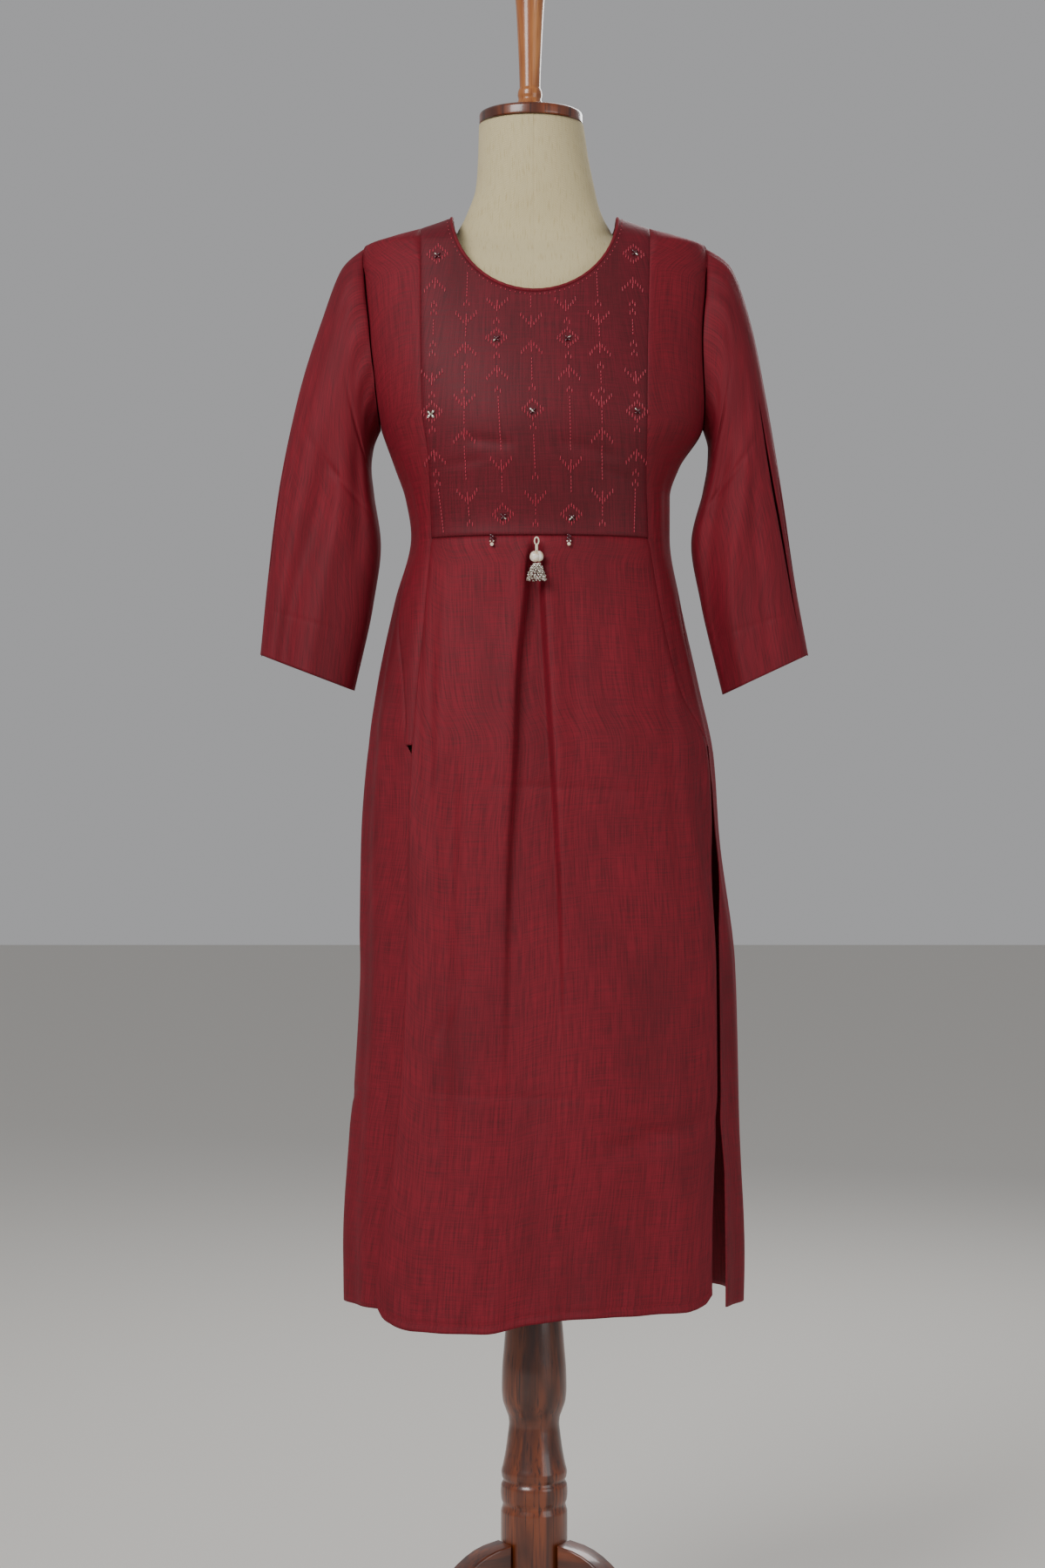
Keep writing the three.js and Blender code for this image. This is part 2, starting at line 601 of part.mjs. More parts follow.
// ---------------------------------------------------------------- yoke and seam trims
// A place on the yoke or skirt front, a little in front of the cloth, and the way it faces.
function frontPlace(x, z, stand) {
  const turn = turnOfX(x, z);
  const point = bodyPoint(turn, z);
  const alongX = bodyPoint(turnOfX(x + 1, z), z).sub(point);
  const alongZ = bodyPoint(turnOfX(x, z + 1), z + 1).sub(point);
  const facing = alongX.cross(alongZ).normalize();
  return { point: point.addScaledVector(facing, stand), facing };
}

// Crosses of small beads sewn in the middle of some of the flowers.
const CROSS_SIZE = 3.4;
const CROSS_HEIGHT = 2.2;
const CROSS_STAND = 2.9;
const CROSSES = makeTable(["x", "z"], [
  [-98, 1478], [-103, 1314], [-38, 1388], [-31, 1212], [-2, 1314],
  [33, 1388], [37, 1211], [101, 1481], [102, 1316],
]);

CROSSES.rows.forEach(([x, z], k) => {
  const { point, facing } = frontPlace(x, z, CROSS_STAND);
  const bead = addMesh(`bead_cross_${k + 1}`, new THREE.CylinderGeometry(CROSS_SIZE, CROSS_SIZE, CROSS_HEIGHT, 8), SILVER_BEAD);
  bead.position.copy(point);
  bead.quaternion.setFromUnitVectors(new THREE.Vector3(0, 1, 0), facing);
});

// Two short bead drops hang from the bust seam.
const DROP_RADIUS = 2.3;
const DROP_TOP_Z = 1194;
const DROP_LENGTH = 13;

function upright(geometry) {
  return geometry.rotateX(Math.PI / 2);
}

for (const [side, x] of [["left", -42], ["right", 34]]) {
  const bead = addMesh(`bead_drop_${side}`, upright(new THREE.CapsuleGeometry(DROP_RADIUS, DROP_LENGTH - 2 * DROP_RADIUS, 3, 8)), DARK_BEAD);
  const { point } = frontPlace(x, DROP_TOP_Z - DROP_LENGTH / 2, DROP_RADIUS + 1.2);
  bead.position.copy(point);
}

// The tassel at the middle: a twisted cord, a large pearl and a bell of glass beads.
const TASSEL_X = 2;
const TASSEL_TOP_Z = 1192;
const TASSEL_CORD_RADIUS = 2;
const TASSEL_CORD_LENGTH = 14;
const TASSEL_PEARL_RADIUS = 6.5;
const TASSEL_BELL_HEIGHT = 17;
const TASSEL_BELL_TOP_RADIUS = 5;
const TASSEL_BELL_RADIUS = 10;
const TASSEL_GAP = 0.4;
const tasselY = frontPlace(TASSEL_X, YOKE_SEAM_Z, TASSEL_BELL_RADIUS + 1).point.y;

const tassel = new THREE.Group();
tassel.position.set(TASSEL_X, tasselY, 0);
tunic.add(tassel);

function addTasselPiece(name, geometry, look, z) {
  const mesh = addMesh(name, upright(geometry), look);
  mesh.position.z = z;
  tassel.add(mesh);
}

const pearlZ = TASSEL_TOP_Z - TASSEL_CORD_LENGTH - TASSEL_GAP - TASSEL_PEARL_RADIUS;
const bellZ = pearlZ - TASSEL_PEARL_RADIUS - TASSEL_GAP - TASSEL_BELL_HEIGHT / 2;
const cordShape = new THREE.CylinderGeometry(TASSEL_CORD_RADIUS, TASSEL_CORD_RADIUS, TASSEL_CORD_LENGTH, 10);
addTasselPiece("tassel_cord", cordShape, CORD, TASSEL_TOP_Z - TASSEL_CORD_LENGTH / 2);
addTasselPiece("tassel_pearl", new THREE.SphereGeometry(TASSEL_PEARL_RADIUS, 14, 10), PEARL, pearlZ);
const bellShape = new THREE.CylinderGeometry(TASSEL_BELL_TOP_RADIUS, TASSEL_BELL_RADIUS, TASSEL_BELL_HEIGHT, 14);
addTasselPiece("tassel_bead_bell", bellShape, SILVER_BEAD, bellZ);

// ---------------------------------------------------------------- dress form
// A padded, cloth-covered torso with a neck that leans a little forward.
const FORM = makeTable(["z", "half", "front", "back", "middle"], [
  [868, 144, 84, 92, 2],
  [900, 155, 92, 97, 3],
  [950, 159, 97, 101, 4],
  [1000, 153, 95, 99, 4],
  [1060, 142, 90, 92, 4],
  [1130, 127, 84, 80, 3],
  [1195, 116, 88, 73, 5],
  [1240, 120, 99, 78, 3],
  [1300, 138, 114, 90, 4],
  [1350, 149, 110, 94, 4],
  [1400, 153, 97, 95, 2],
  [1440, 154, 83, 90, 1],
  [1466, 150, 70, 80, 0],
  [1482, 140, 60, 70, 0],
  [1493, 114, 51, 60, 0],
  [1504, 88, 44, 50, 0],
  [1518, 77, 42, 45, 0],
  [1534, 69, 44, 46, 0],
  [1556, 62, 48, 48, 1],
  [1590, 57, 53, 45, -1],
  [1624, 54, 58, 42, -3],
]);
const FORM_COLUMNS = 36;
const FORM_RING_SPACING = 30;

function formPoint(turn, z) {
  const read = (name) => readTable(FORM, name, z);
  const neck = smoothStep(1490, 1560, z);
  const round = 2 / mix(ROUNDNESS, 2, neck);
  const angle = THREE.MathUtils.degToRad(turn);
  const s = Math.sin(angle);
  const c = Math.cos(angle);
  const depth = c >= 0 ? read("front") : read("back");
  const x = read("middle") + read("half") * Math.sign(s) * Math.abs(s) ** round;
  return new THREE.Vector3(x, -depth * Math.sign(c) * Math.abs(c) ** round, z);
}

// A solid between rings, closed by a flat fan at each end.
function ringSolid(ringPoint, columns, heights) {
  const positions = [];
  const put = (...points) => points.forEach((p) => positions.push(p.x, p.y, p.z));
  const last = heights.length - 1;
  const at = (i, k) => ringPoint((360 * (i % columns)) / columns, heights[k]);
  const centreOf = (k) => {
    const sum = new THREE.Vector3();
    for (let i = 0; i < columns; i += 1) sum.add(at(i, k));
    return sum.divideScalar(columns);
  };
  for (let i = 0; i < columns; i += 1) {
    for (let k = 0; k < last; k += 1) {
      put(at(i, k), at(i + 1, k), at(i + 1, k + 1));
      put(at(i, k), at(i + 1, k + 1), at(i, k + 1));
    }
    put(at(i + 1, 0), at(i, 0), centreOf(0));
    put(at(i, last), at(i + 1, last), centreOf(last));
  }
  const geometry = new THREE.BufferGeometry();
  geometry.setAttribute("position", new THREE.Float32BufferAttribute(positions, 3));
  geometry.computeVertexNormals();
  return geometry;
}

// Rings at each row of the table, and between rows wherever they are far apart.
const formHeights = [FORM_BOTTOM_Z];
for (let k = 1; k < FORM.rows.length; k += 1) {
  const from = FORM.rows[k - 1][0];
  const to = FORM.rows[k][0];
  const parts = Math.ceil((to - from) / FORM_RING_SPACING);
  for (let part = 1; part <= parts; part += 1) formHeights.push(mix(from, to, part / parts));
}
addMesh("form_torso", ringSolid(formPoint, FORM_COLUMNS, formHeights), FORM_CLOTH);

// The board that closes the torso from below, cut to its oval.
const BASE_BOARD_THICKNESS = 10;
const BASE_BOARD_SHARE = 0.94;
function basePoint(turn, z) {
  const rim = formPoint(turn, FORM_BOTTOM_Z);
  const middle = readTable(FORM, "middle", FORM_BOTTOM_Z);
  return new THREE.Vector3(middle + (rim.x - middle) * BASE_BOARD_SHARE, rim.y * BASE_BOARD_SHARE, z);
}
const boardTopZ = FORM_BOTTOM_Z - 0.4;
const boardBottomZ = boardTopZ - BASE_BOARD_THICKNESS;
addMesh("form_base_board", ringSolid(basePoint, FORM_COLUMNS, [boardBottomZ, boardTopZ]), DARK_WOOD);

// ---------------------------------------------------------------- turned wood
// Profiles run from the lower end on the axis to the upper end on the axis, as radius and height.
function turned(name, profile, look, segments, x, y) {
  const points = profile.map(([radius, z]) => new THREE.Vector2(radius, z));
  const mesh = addMesh(name, upright(new THREE.LatheGeometry(points, segments)), look);
  mesh.position.set(x, y, 0);
  return mesh;
}

const NECK_X = -3.5;
const NECK_Y = -8;
const CAP_RADIUS = 53;
const CAP_BOTTOM_Z = FORM_TOP_Z + 0.4;
const CAP_TOP_Z = 1636;
const FINIAL_X = -4.5;
turned("neck_cap", [
  [0, CAP_BOTTOM_Z], [CAP_RADIUS - 1, CAP_BOTTOM_Z], [CAP_RADIUS, CAP_BOTTOM_Z + 1],
  [CAP_RADIUS, CAP_TOP_Z - 3], [CAP_RADIUS - 1.2, CAP_TOP_Z - 1], [CAP_RADIUS - 3.5, CAP_TOP_Z], [0, CAP_TOP_Z],
], DARK_WOOD, 36, NECK_X, NECK_Y);

const finialBottom = CAP_TOP_Z + 0.4;
turned("finial", [
  [0, finialBottom], [14.4, finialBottom], [14.8, 1640], [13.4, 1645], [11.8, 1650], [12.6, 1654],
  [12.2, 1658], [10.6, 1662], [10.9, 1675], [12.2, 1705], [14, 1740], [16, 1765], [17, 1780],
  [16.2, 1792], [13, 1802], [7.5, 1808], [0, 1810],
], PALE_WOOD, 24, FINIAL_X, NECK_Y);

// The column: turned vase and ring above the leg block, a plain pole inside the tunic.
const COLUMN_BOTTOM_Z = 78;
const COLUMN_TOP_Z = boardBottomZ - 0.4;
turned("stand_column", [
  [0, COLUMN_BOTTOM_Z], [16, COLUMN_BOTTOM_Z], [24, COLUMN_BOTTOM_Z + 6], [28, COLUMN_BOTTOM_Z + 14],
  [COLUMN_RADIUS, COLUMN_BOTTOM_Z + 18], [COLUMN_RADIUS, 195], [32.4, 203], [34, 208], [34.6, 215],
  [34, 223], [31.6, 227.5], [33.4, 231], [34, 236], [32.4, 243], [29.5, 258], [27.2, 275],
  [26, 286], [26.6, 292], [29.4, 300], [32.6, 310], [33.6, 322], [33.2, 340], [31.5, 362],
  [29.6, 385], [27, 408], [22, 430], [17.5, 445], [17.5, COLUMN_TOP_Z - 12], [34, COLUMN_TOP_Z - 8],
  [34, COLUMN_TOP_Z], [0, COLUMN_TOP_Z],
], DARK_WOOD, 28, 0, 0);

// ---------------------------------------------------------------- legs
// Three swept legs, sawn from board: two forward at 60 degrees to the front, one straight back.
const LEG_ROOT = COLUMN_RADIUS + 0.5;

function legOutline() {
  const outline = new THREE.Shape();
  outline.moveTo(LEG_ROOT, 100);
  outline.lineTo(LEG_ROOT, 166);
  outline.lineTo(52, 163);
  outline.bezierCurveTo(105, 150, 130, 78, 200, 50);
  outline.bezierCurveTo(235, 37, 262, 40, 280, 30);
  outline.quadraticCurveTo(LEG_REACH, 22, LEG_REACH, 8);
  outline.lineTo(LEG_REACH, 0);
  outline.lineTo(244, 0);
  outline.quadraticCurveTo(238, 12, 214, 15);
  outline.bezierCurveTo(150, 24, 110, 70, 84, 92);
  outline.quadraticCurveTo(66, 104, 50, 98);
  outline.closePath();
  return outline;
}

for (const [name, turn] of [["leg_front_left", 210], ["leg_front_right", 330], ["leg_back", 90]]) {
  const geometry = new THREE.ExtrudeGeometry(legOutline(), {
    depth: LEG_WIDTH - 4, curveSegments: 7, bevelEnabled: true, bevelThickness: 2, bevelSize: 2, bevelOffset: -2, bevelSegments: 1,
  });
  geometry.translate(0, 0, -LEG_WIDTH / 2 + 2).rotateX(Math.PI / 2);
  const leg = addMesh(name, geometry, DARK_WOOD);
  leg.rotation.z = THREE.MathUtils.degToRad(turn);
}

// ---------------------------------------------------------------- origin
const bounds = new THREE.Box3().setFromObject(tunic, true);
const middle = bounds.getCenter(new THREE.Vector3());
tunic.position.set(-middle.x, -middle.y, -bounds.min.z);
tunic.updateMatrixWorld(true);

export default tunic;
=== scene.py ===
import math
import random

import bmesh
import bpy
import numpy as np
from mathutils import Matrix, Vector


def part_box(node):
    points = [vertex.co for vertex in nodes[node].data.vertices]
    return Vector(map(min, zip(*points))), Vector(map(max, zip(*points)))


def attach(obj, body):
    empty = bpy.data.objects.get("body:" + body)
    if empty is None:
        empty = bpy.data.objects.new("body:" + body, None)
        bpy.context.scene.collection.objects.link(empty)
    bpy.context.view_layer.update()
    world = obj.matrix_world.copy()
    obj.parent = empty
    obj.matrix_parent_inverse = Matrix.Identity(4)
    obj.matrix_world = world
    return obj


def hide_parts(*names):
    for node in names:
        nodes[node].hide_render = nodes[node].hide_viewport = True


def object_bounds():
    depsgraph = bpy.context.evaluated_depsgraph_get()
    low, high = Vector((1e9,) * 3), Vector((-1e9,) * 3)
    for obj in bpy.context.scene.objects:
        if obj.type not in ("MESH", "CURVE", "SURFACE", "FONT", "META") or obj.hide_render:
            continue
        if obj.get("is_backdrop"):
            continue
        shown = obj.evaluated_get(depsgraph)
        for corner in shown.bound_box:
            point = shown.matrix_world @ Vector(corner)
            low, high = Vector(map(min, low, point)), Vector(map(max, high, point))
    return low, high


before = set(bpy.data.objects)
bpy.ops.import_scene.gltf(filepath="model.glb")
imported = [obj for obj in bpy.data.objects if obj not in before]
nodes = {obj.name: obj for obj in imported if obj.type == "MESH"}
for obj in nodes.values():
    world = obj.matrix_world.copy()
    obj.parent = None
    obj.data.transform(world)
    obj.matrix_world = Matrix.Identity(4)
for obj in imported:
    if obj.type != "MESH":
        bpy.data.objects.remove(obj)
low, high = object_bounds()

# ---------------------------------------------------------------- stand legs
# Three swept legs sawn from 30 mm hardwood board, their edges rounded over with a router.
# They are stained, varnished and dowelled to the block at the foot of the column.
low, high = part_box("stand_column")
axis = Vector(((low.x + high.x) / 2, (low.y + high.y) / 2, 0))


def to_frame(points):
    """Millimetres from the stand's axis, as metres in the row frame."""
    return np.asarray(points, float) * 0.001 + np.array(axis)


def linear(code):
    """An sRGB hex colour as linear values."""
    parts = [int(code[k:k + 2], 16) / 255 for k in (1, 3, 5)]
    return [*(p / 12.92 if p <= 0.04045 else ((p + 0.055) / 1.055) ** 2.4 for p in parts), 1]


def new_material(name, colour, roughness):
    """A material and its shader, with a plain colour to start from."""
    material = bpy.data.materials.new(name)
    material.use_nodes = True
    shader = material.node_tree.nodes["Principled BSDF"]
    shader.inputs["Base Color"].default_value = linear(colour)
    shader.inputs["Roughness"].default_value = roughness
    return material, shader


def add_node(material, kind, settings=None, links=None):
    """Adds a node. Lower-case settings are its properties and the others its sockets."""
    node = material.node_tree.nodes.new(kind)
    for name, value in (settings or {}).items():
        if isinstance(name, str) and name[0].islower():
            setattr(node, name, value)
        else:
            node.inputs[name].default_value = value
    for name, source in (links or {}).items():
        material.node_tree.links.new(source, node.inputs[name])
    return node


def blend_colours(material, first, second, share):
    """The colour between two others, by a share that a socket gives."""
    settings = {"data_type": "RGBA"}
    links = {0: share}
    for socket, colour in ((6, first), (7, second)):
        if isinstance(colour, str):
            settings[socket] = linear(colour)
        else:
            links[socket] = colour
    return add_node(material, "ShaderNodeMix", settings, links).outputs[2]


def spread(material, source, start, end):
    """A socket's values from start to end, stretched to 0 to 1."""
    settings = {"From Min": start, "From Max": end}
    return add_node(material, "ShaderNodeMapRange", settings, {"Value": source}).outputs[0]


def wood_material(name, dark, light, roughness, coat):
    """Varnished hardwood with its grain along the third value of the piece's own grain places."""
    material, shader = new_material(name, light, roughness)
    link = material.node_tree.links.new
    place = add_node(material, "ShaderNodeAttribute", {"attribute_name": "grain"}).outputs["Vector"]
    fibre = add_node(material, "ShaderNodeMapping", {"Scale": (420, 420, 12)}, {"Vector": place})
    fine = add_node(material, "ShaderNodeTexNoise", {"Scale": 1.0, "Detail": 4.0},
                    {"Vector": fibre.outputs[0]})
    figure = add_node(material, "ShaderNodeMapping", {"Scale": (60, 60, 7)}, {"Vector": place})
    broad = add_node(material, "ShaderNodeTexNoise", {"Scale": 1.0, "Detail": 2.0, "Distortion": 0.6},
                     {"Vector": figure.outputs[0]})
    figured = blend_colours(material, dark, light, spread(material, broad.outputs[0], 0.3, 0.7))
    pores = blend_colours(material, dark, figured, spread(material, fine.outputs[0], 0.32, 0.5))
    link(pores, shader.inputs["Base Color"])
    bump = add_node(material, "ShaderNodeBump", {"Strength": 0.12, "Distance": 0.0003},
                    {"Height": fine.outputs[0]})
    link(bump.outputs[0], shader.inputs["Normal"])
    shader.inputs["Coat Weight"].default_value = coat
    shader.inputs["Coat Roughness"].default_value = 0.12
    return material


def add_object(name, mesh, material):
    mesh.materials.append(material)
    piece = bpy.data.objects.new(name, mesh)
    bpy.context.scene.collection.objects.link(piece)
    return piece


def wooden(name, shape, material, turn=0.0, centre=(0, 0), grain=(0, 1, 2)):
    """A wooden piece from a bmesh in millimetres round its own axis, turned and put in place."""
    bmesh.ops.recalc_face_normals(shape, faces=shape.faces)
    mesh = bpy.data.meshes.new(name)
    shape.to_mesh(mesh)
    shape.free()
    places = np.array([vertex.co for vertex in mesh.vertices]) * 0.001
    attribute = mesh.attributes.new("grain", "FLOAT_VECTOR", "POINT")
    attribute.data.foreach_set("vector", places[:, list(grain)].astype(np.float32).ravel())
    spot = axis + Vector((centre[0], centre[1], 0)) * 0.001
    mesh.transform(Matrix.Translation(spot) @ Matrix.Rotation(math.radians(turn), 4, "Z")
                   @ Matrix.Scale(0.001, 4))
    mesh.shade_smooth()
    mesh.set_sharp_from_angle(angle=math.radians(38))
    return add_object(name, mesh, material)


def bezier(points, steps):
    """Points along a Bezier curve, its first point left out."""
    line = []
    for k in range(1, steps + 1):
        t = k / steps
        level = [np.array(point, float) for point in points]
        while len(level) > 1:
            level = [a * (1 - t) + b * t for a, b in zip(level, level[1:])]
        line.append(tuple(level[0]))
    return line


dark_wood = wood_material("Varnished dark hardwood", "#38150A", "#7C3A18", 0.34, 0.55)

leg_root, leg_width = 34.9, 30
outline = [(leg_root, 100), (leg_root, 166), (52, 163)]
outline += bezier([(52, 163), (105, 150), (130, 78), (200, 50)], 14)
outline += bezier([(200, 50), (235, 37), (262, 40), (280, 30)], 10)
outline += bezier([(280, 30), (292, 22), (292, 8)], 6)
outline += [(292, 0), (244, 0)]
outline += bezier([(244, 0), (238, 12), (214, 15)], 6)
outline += bezier([(214, 15), (150, 24), (110, 70), (84, 92)], 14)
outline += bezier([(84, 92), (66, 104), (50, 98)], 8)

for node, turn in (("leg_front_left", 210), ("leg_front_right", 330), ("leg_back", 90)):
    shape = bmesh.new()
    side = shape.faces.new([shape.verts.new((x, -leg_width / 2, z)) for x, z in outline])
    grown = bmesh.ops.extrude_face_region(shape, geom=[side])["geom"]
    moved = [part for part in grown if isinstance(part, bmesh.types.BMVert)]
    bmesh.ops.translate(shape, verts=moved, vec=(0, leg_width, 0))
    rims = [e for e in shape.edges if abs(e.verts[0].co.y - e.verts[1].co.y) < 0.1]
    bmesh.ops.bevel(shape, geom=rims, offset=2, segments=3, profile=0.5, affect="EDGES", material=-1)
    leg = wooden(node.replace("_", "-"), shape, dark_wood, turn=turn, grain=(1, 2, 0))
    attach(leg, "root")
    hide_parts(node)

# ---------------------------------------------------------------- stand column
# Turned in one length on a lathe: a block for the legs, rings, a vase, then a plain pole.
# Hardwood, stained and varnished. It screws up into the board under the torso.


def smooth_table(rows):
    """Rows of a first value and the others as smooth curves of it that never overshoot."""
    rows = np.array(rows, float)
    at, values = rows[:, 0], rows[:, 1:]
    steps = np.diff(at)[:, None]
    slopes = np.diff(values, axis=0) / steps
    tangents = np.empty_like(values)
    tangents[0], tangents[-1] = slopes[0], slopes[-1]
    before, after = slopes[:-1], slopes[1:]
    rising = before * after > 0
    total = np.where(rising, before + after, 1)
    tangents[1:-1] = np.where(rising, 2 * before * after / total, 0)
    fine = np.linspace(at[0], at[-1], 1600)
    k = np.clip(np.searchsorted(at, fine, side="right") - 1, 0, len(at) - 2)
    t = (fine - at[k])[:, None] / steps[k]
    start = (2 * t**3 - 3 * t**2 + 1) * values[k] + (t**3 - 2 * t**2 + t) * steps[k] * tangents[k]
    end = (3 * t**2 - 2 * t**3) * values[k + 1] + (t**3 - t**2) * steps[k] * tangents[k + 1]
    return fine, start + end


def read(table, column, at):
    return np.interp(at, table[0], table[1][:, column])


def lathe(profile, rings, segments=72):
    """A solid of revolution from (radius, height) points, smoothed along its length."""
    points = np.array(profile, float)
    along = np.concatenate([[0], np.cumsum(np.hypot(*np.diff(points, axis=0).T))])
    table = smooth_table(np.column_stack([along, points]))
    places = np.union1d(np.linspace(0, along[-1], rings), along)
    shape = bmesh.new()
    line = [shape.verts.new((read(table, 0, s), 0, read(table, 1, s))) for s in places]
    edges = [shape.edges.new(pair) for pair in zip(line, line[1:])]
    bmesh.ops.spin(shape, geom=line + edges, cent=(0, 0, 0), axis=(0, 0, 1), angle=2 * math.pi,
                   steps=segments, use_merge=True)
    bmesh.ops.remove_doubles(shape, verts=shape.verts, dist=0.01)
    return shape


column = wooden("stand-column", lathe([
    (0, 78), (16, 78), (24, 84), (28, 92), (34.4, 96), (34.4, 195), (32.4, 203), (34, 208),
    (34.6, 215), (34, 223), (31.6, 227.5), (33.4, 231), (34, 236), (32.4, 243), (29.5, 258),
    (27.2, 275), (26, 286), (26.6, 292), (29.4, 300), (32.6, 310), (33.6, 322), (33.2, 340),
    (31.5, 362), (29.6, 385), (27, 408), (22, 430), (17.5, 445), (17.5, 845.2), (34, 849.2),
    (34, 857.2), (0, 857.2)], 240), dark_wood)
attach(column, "root")
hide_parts("stand_column")

# The board that closes the torso from below is sawn to its oval and stays as it is in the
# solid model: plywood stained dark, out of sight inside the skirt.
board = nodes["form_base_board"]
board.data.materials.clear()
board.data.materials.append(dark_wood)

# ---------------------------------------------------------------- dress form
# A moulded, padded torso covered in natural linen twill, with a seam down the front and
# another round the base of the neck. The neck leans a little forward.


def mix(first, second, share):
    return first + (second - first) * share


def smooth_step(start, end, value):
    t = np.clip((value - start) / (end - start), 0, 1)
    return t * t * (3 - 2 * t)


def bell(value, middle, width):
    return np.exp(-(((value - middle) / width) ** 2))


def lay_grid(name, across, up, surface, tube=False, gaps=None):
    """A grid of cloth over surface(u, v), in millimetres, with UVs that count metres of cloth.
    across and up are the places of its columns and rows."""
    u, v = np.meshgrid(across, up)
    points = surface(u.ravel(), v.ravel()).reshape(len(up), len(across), 3)
    metres = np.zeros((len(up), len(across), 2))
    metres[:, 1:, 0] = np.cumsum(np.linalg.norm(np.diff(points, axis=1), axis=2), axis=1)
    metres[:, :, 0] -= metres[:, len(across) // 2, 0][:, None]
    metres[1:, :, 1] = np.cumsum(np.linalg.norm(np.diff(points, axis=0), axis=2), axis=0)
    shape = bmesh.new()
    bmesh.ops.create_grid(shape, x_segments=len(across) - 1, y_segments=len(up) - 1, size=1)
    if gaps:
        cells = [len(across) - 1, len(up) - 1]
        spots = [(f, f.calc_center_median()) for f in shape.faces]
        open_cells = [f for f, c in spots
                      if gaps(int((c.x + 1) / 2 * cells[0]), int((c.y + 1) / 2 * cells[1]))]
        bmesh.ops.delete(shape, geom=open_cells, context="FACES")
    mesh = bpy.data.meshes.new(name)
    shape.to_mesh(mesh)
    shape.free()
    flat = np.empty(len(mesh.vertices) * 3)
    mesh.vertices.foreach_get("co", flat)
    flat = (flat.reshape(-1, 3) + 1) / 2
    i = np.rint(flat[:, 0] * (len(across) - 1)).astype(int)
    j = np.rint(flat[:, 1] * (len(up) - 1)).astype(int)
    mesh.vertices.foreach_set("co", to_frame(points[j, i]).ravel())
    corners = np.empty(len(mesh.loops), int)
    mesh.loops.foreach_get("vertex_index", corners)
    for layer in list(mesh.uv_layers):
        mesh.uv_layers.remove(layer)
    layer = mesh.uv_layers.new(name="cloth")
    layer.data.foreach_set("uv", (metres[j, i][corners] * 0.001).ravel())
    mesh.update()
    outward = 0.0
    middles = to_frame(points.mean(axis=1)) if tube else None
    for face in list(mesh.polygons)[::7]:
        centre = np.array(face.center)
        core = np.array((axis.x, axis.y, centre[2]))
        if tube:
            core = middles[j[face.vertices[0]]]
        outward += float(np.dot(np.array(face.normal), centre - core)) * face.area
    if outward < 0:
        mesh.flip_normals()
    mesh.shade_smooth()
    return mesh


form = smooth_table([
    [868, 144, 84, 92, 2], [900, 155, 92, 97, 3], [950, 159, 97, 101, 4], [1000, 153, 95, 99, 4],
    [1060, 142, 90, 92, 4], [1130, 127, 84, 80, 3], [1195, 116, 88, 73, 5], [1240, 120, 99, 78, 3],
    [1300, 138, 114, 90, 4], [1350, 149, 110, 94, 4], [1400, 153, 97, 95, 2],
    [1440, 154, 83, 90, 1], [1466, 150, 70, 80, 0], [1482, 140, 60, 70, 0], [1493, 114, 51, 60, 0],
    [1504, 88, 44, 50, 0], [1518, 77, 42, 45, 0], [1534, 69, 44, 46, 0], [1556, 62, 48, 48, 1],
    [1590, 57, 53, 45, -1], [1624, 54, 58, 42, -3]])


def form_point(u, v):
    turn = mix(-math.pi, math.pi, u)
    z = mix(form[0][0], form[0][-1], v)
    power = 2 / mix(2.3, 2.0, smooth_step(1490, 1560, z))
    s, c = np.sin(turn), np.cos(turn)
    depth = np.where(c >= 0, read(form, 1, z), read(form, 2, z))
    x = read(form, 3, z) + read(form, 0, z) * np.sign(s) * np.abs(s) ** power
    y = -depth * np.sign(c) * np.abs(c) ** power
    seam = 1513 - 9 * c * (c > 0)
    ring = 1 - 0.012 * bell(z, seam, 1.6)
    return np.stack([x * ring, y * (ring - 0.008 * bell(x, 0, 1.0) * (c > 0)), z], -1)


linen, shader = new_material("Natural linen twill", "#D2C498", 0.88)
place = add_node(linen, "ShaderNodeUVMap", {"uv_map": "cloth"}).outputs[0]
parts = add_node(linen, "ShaderNodeSeparateXYZ", None, {0: place})
zigzag = add_node(linen, "ShaderNodeMath", {"operation": "PINGPONG", 1: 0.004}, {0: parts.outputs[0]})
slant = add_node(linen, "ShaderNodeMath", {"operation": "ADD"},
                 {0: zigzag.outputs[0], 1: parts.outputs[1]})
scaled = add_node(linen, "ShaderNodeMath", {"operation": "MULTIPLY", 1: 4200.0}, {0: slant.outputs[0]})
twill = add_node(linen, "ShaderNodeMath", {"operation": "SINE"}, {0: scaled.outputs[0]}).outputs[0]
fibre = add_node(linen, "ShaderNodeMapping", {"Scale": (900, 60, 1)}, {"Vector": place})
fleck = add_node(linen, "ShaderNodeTexNoise", {"Scale": 1.0, "Detail": 3.0},
                 {"Vector": fibre.outputs[0]}).outputs[0]
woven = blend_colours(linen, "#BFAF82", "#D8CBA2", spread(linen, twill, -1.0, 1.0))
flecked = blend_colours(linen, "#B3A173", woven, spread(linen, fleck, 0.25, 0.45))
linen.node_tree.links.new(flecked, shader.inputs["Base Color"])
bump = add_node(linen, "ShaderNodeBump", {"Strength": 0.35, "Distance": 0.0003}, {"Height": twill})
linen.node_tree.links.new(bump.outputs[0], shader.inputs["Normal"])
shader.inputs["Sheen Weight"].default_value = 0.15
shader.inputs["Specular IOR Level"].default_value = 0.25

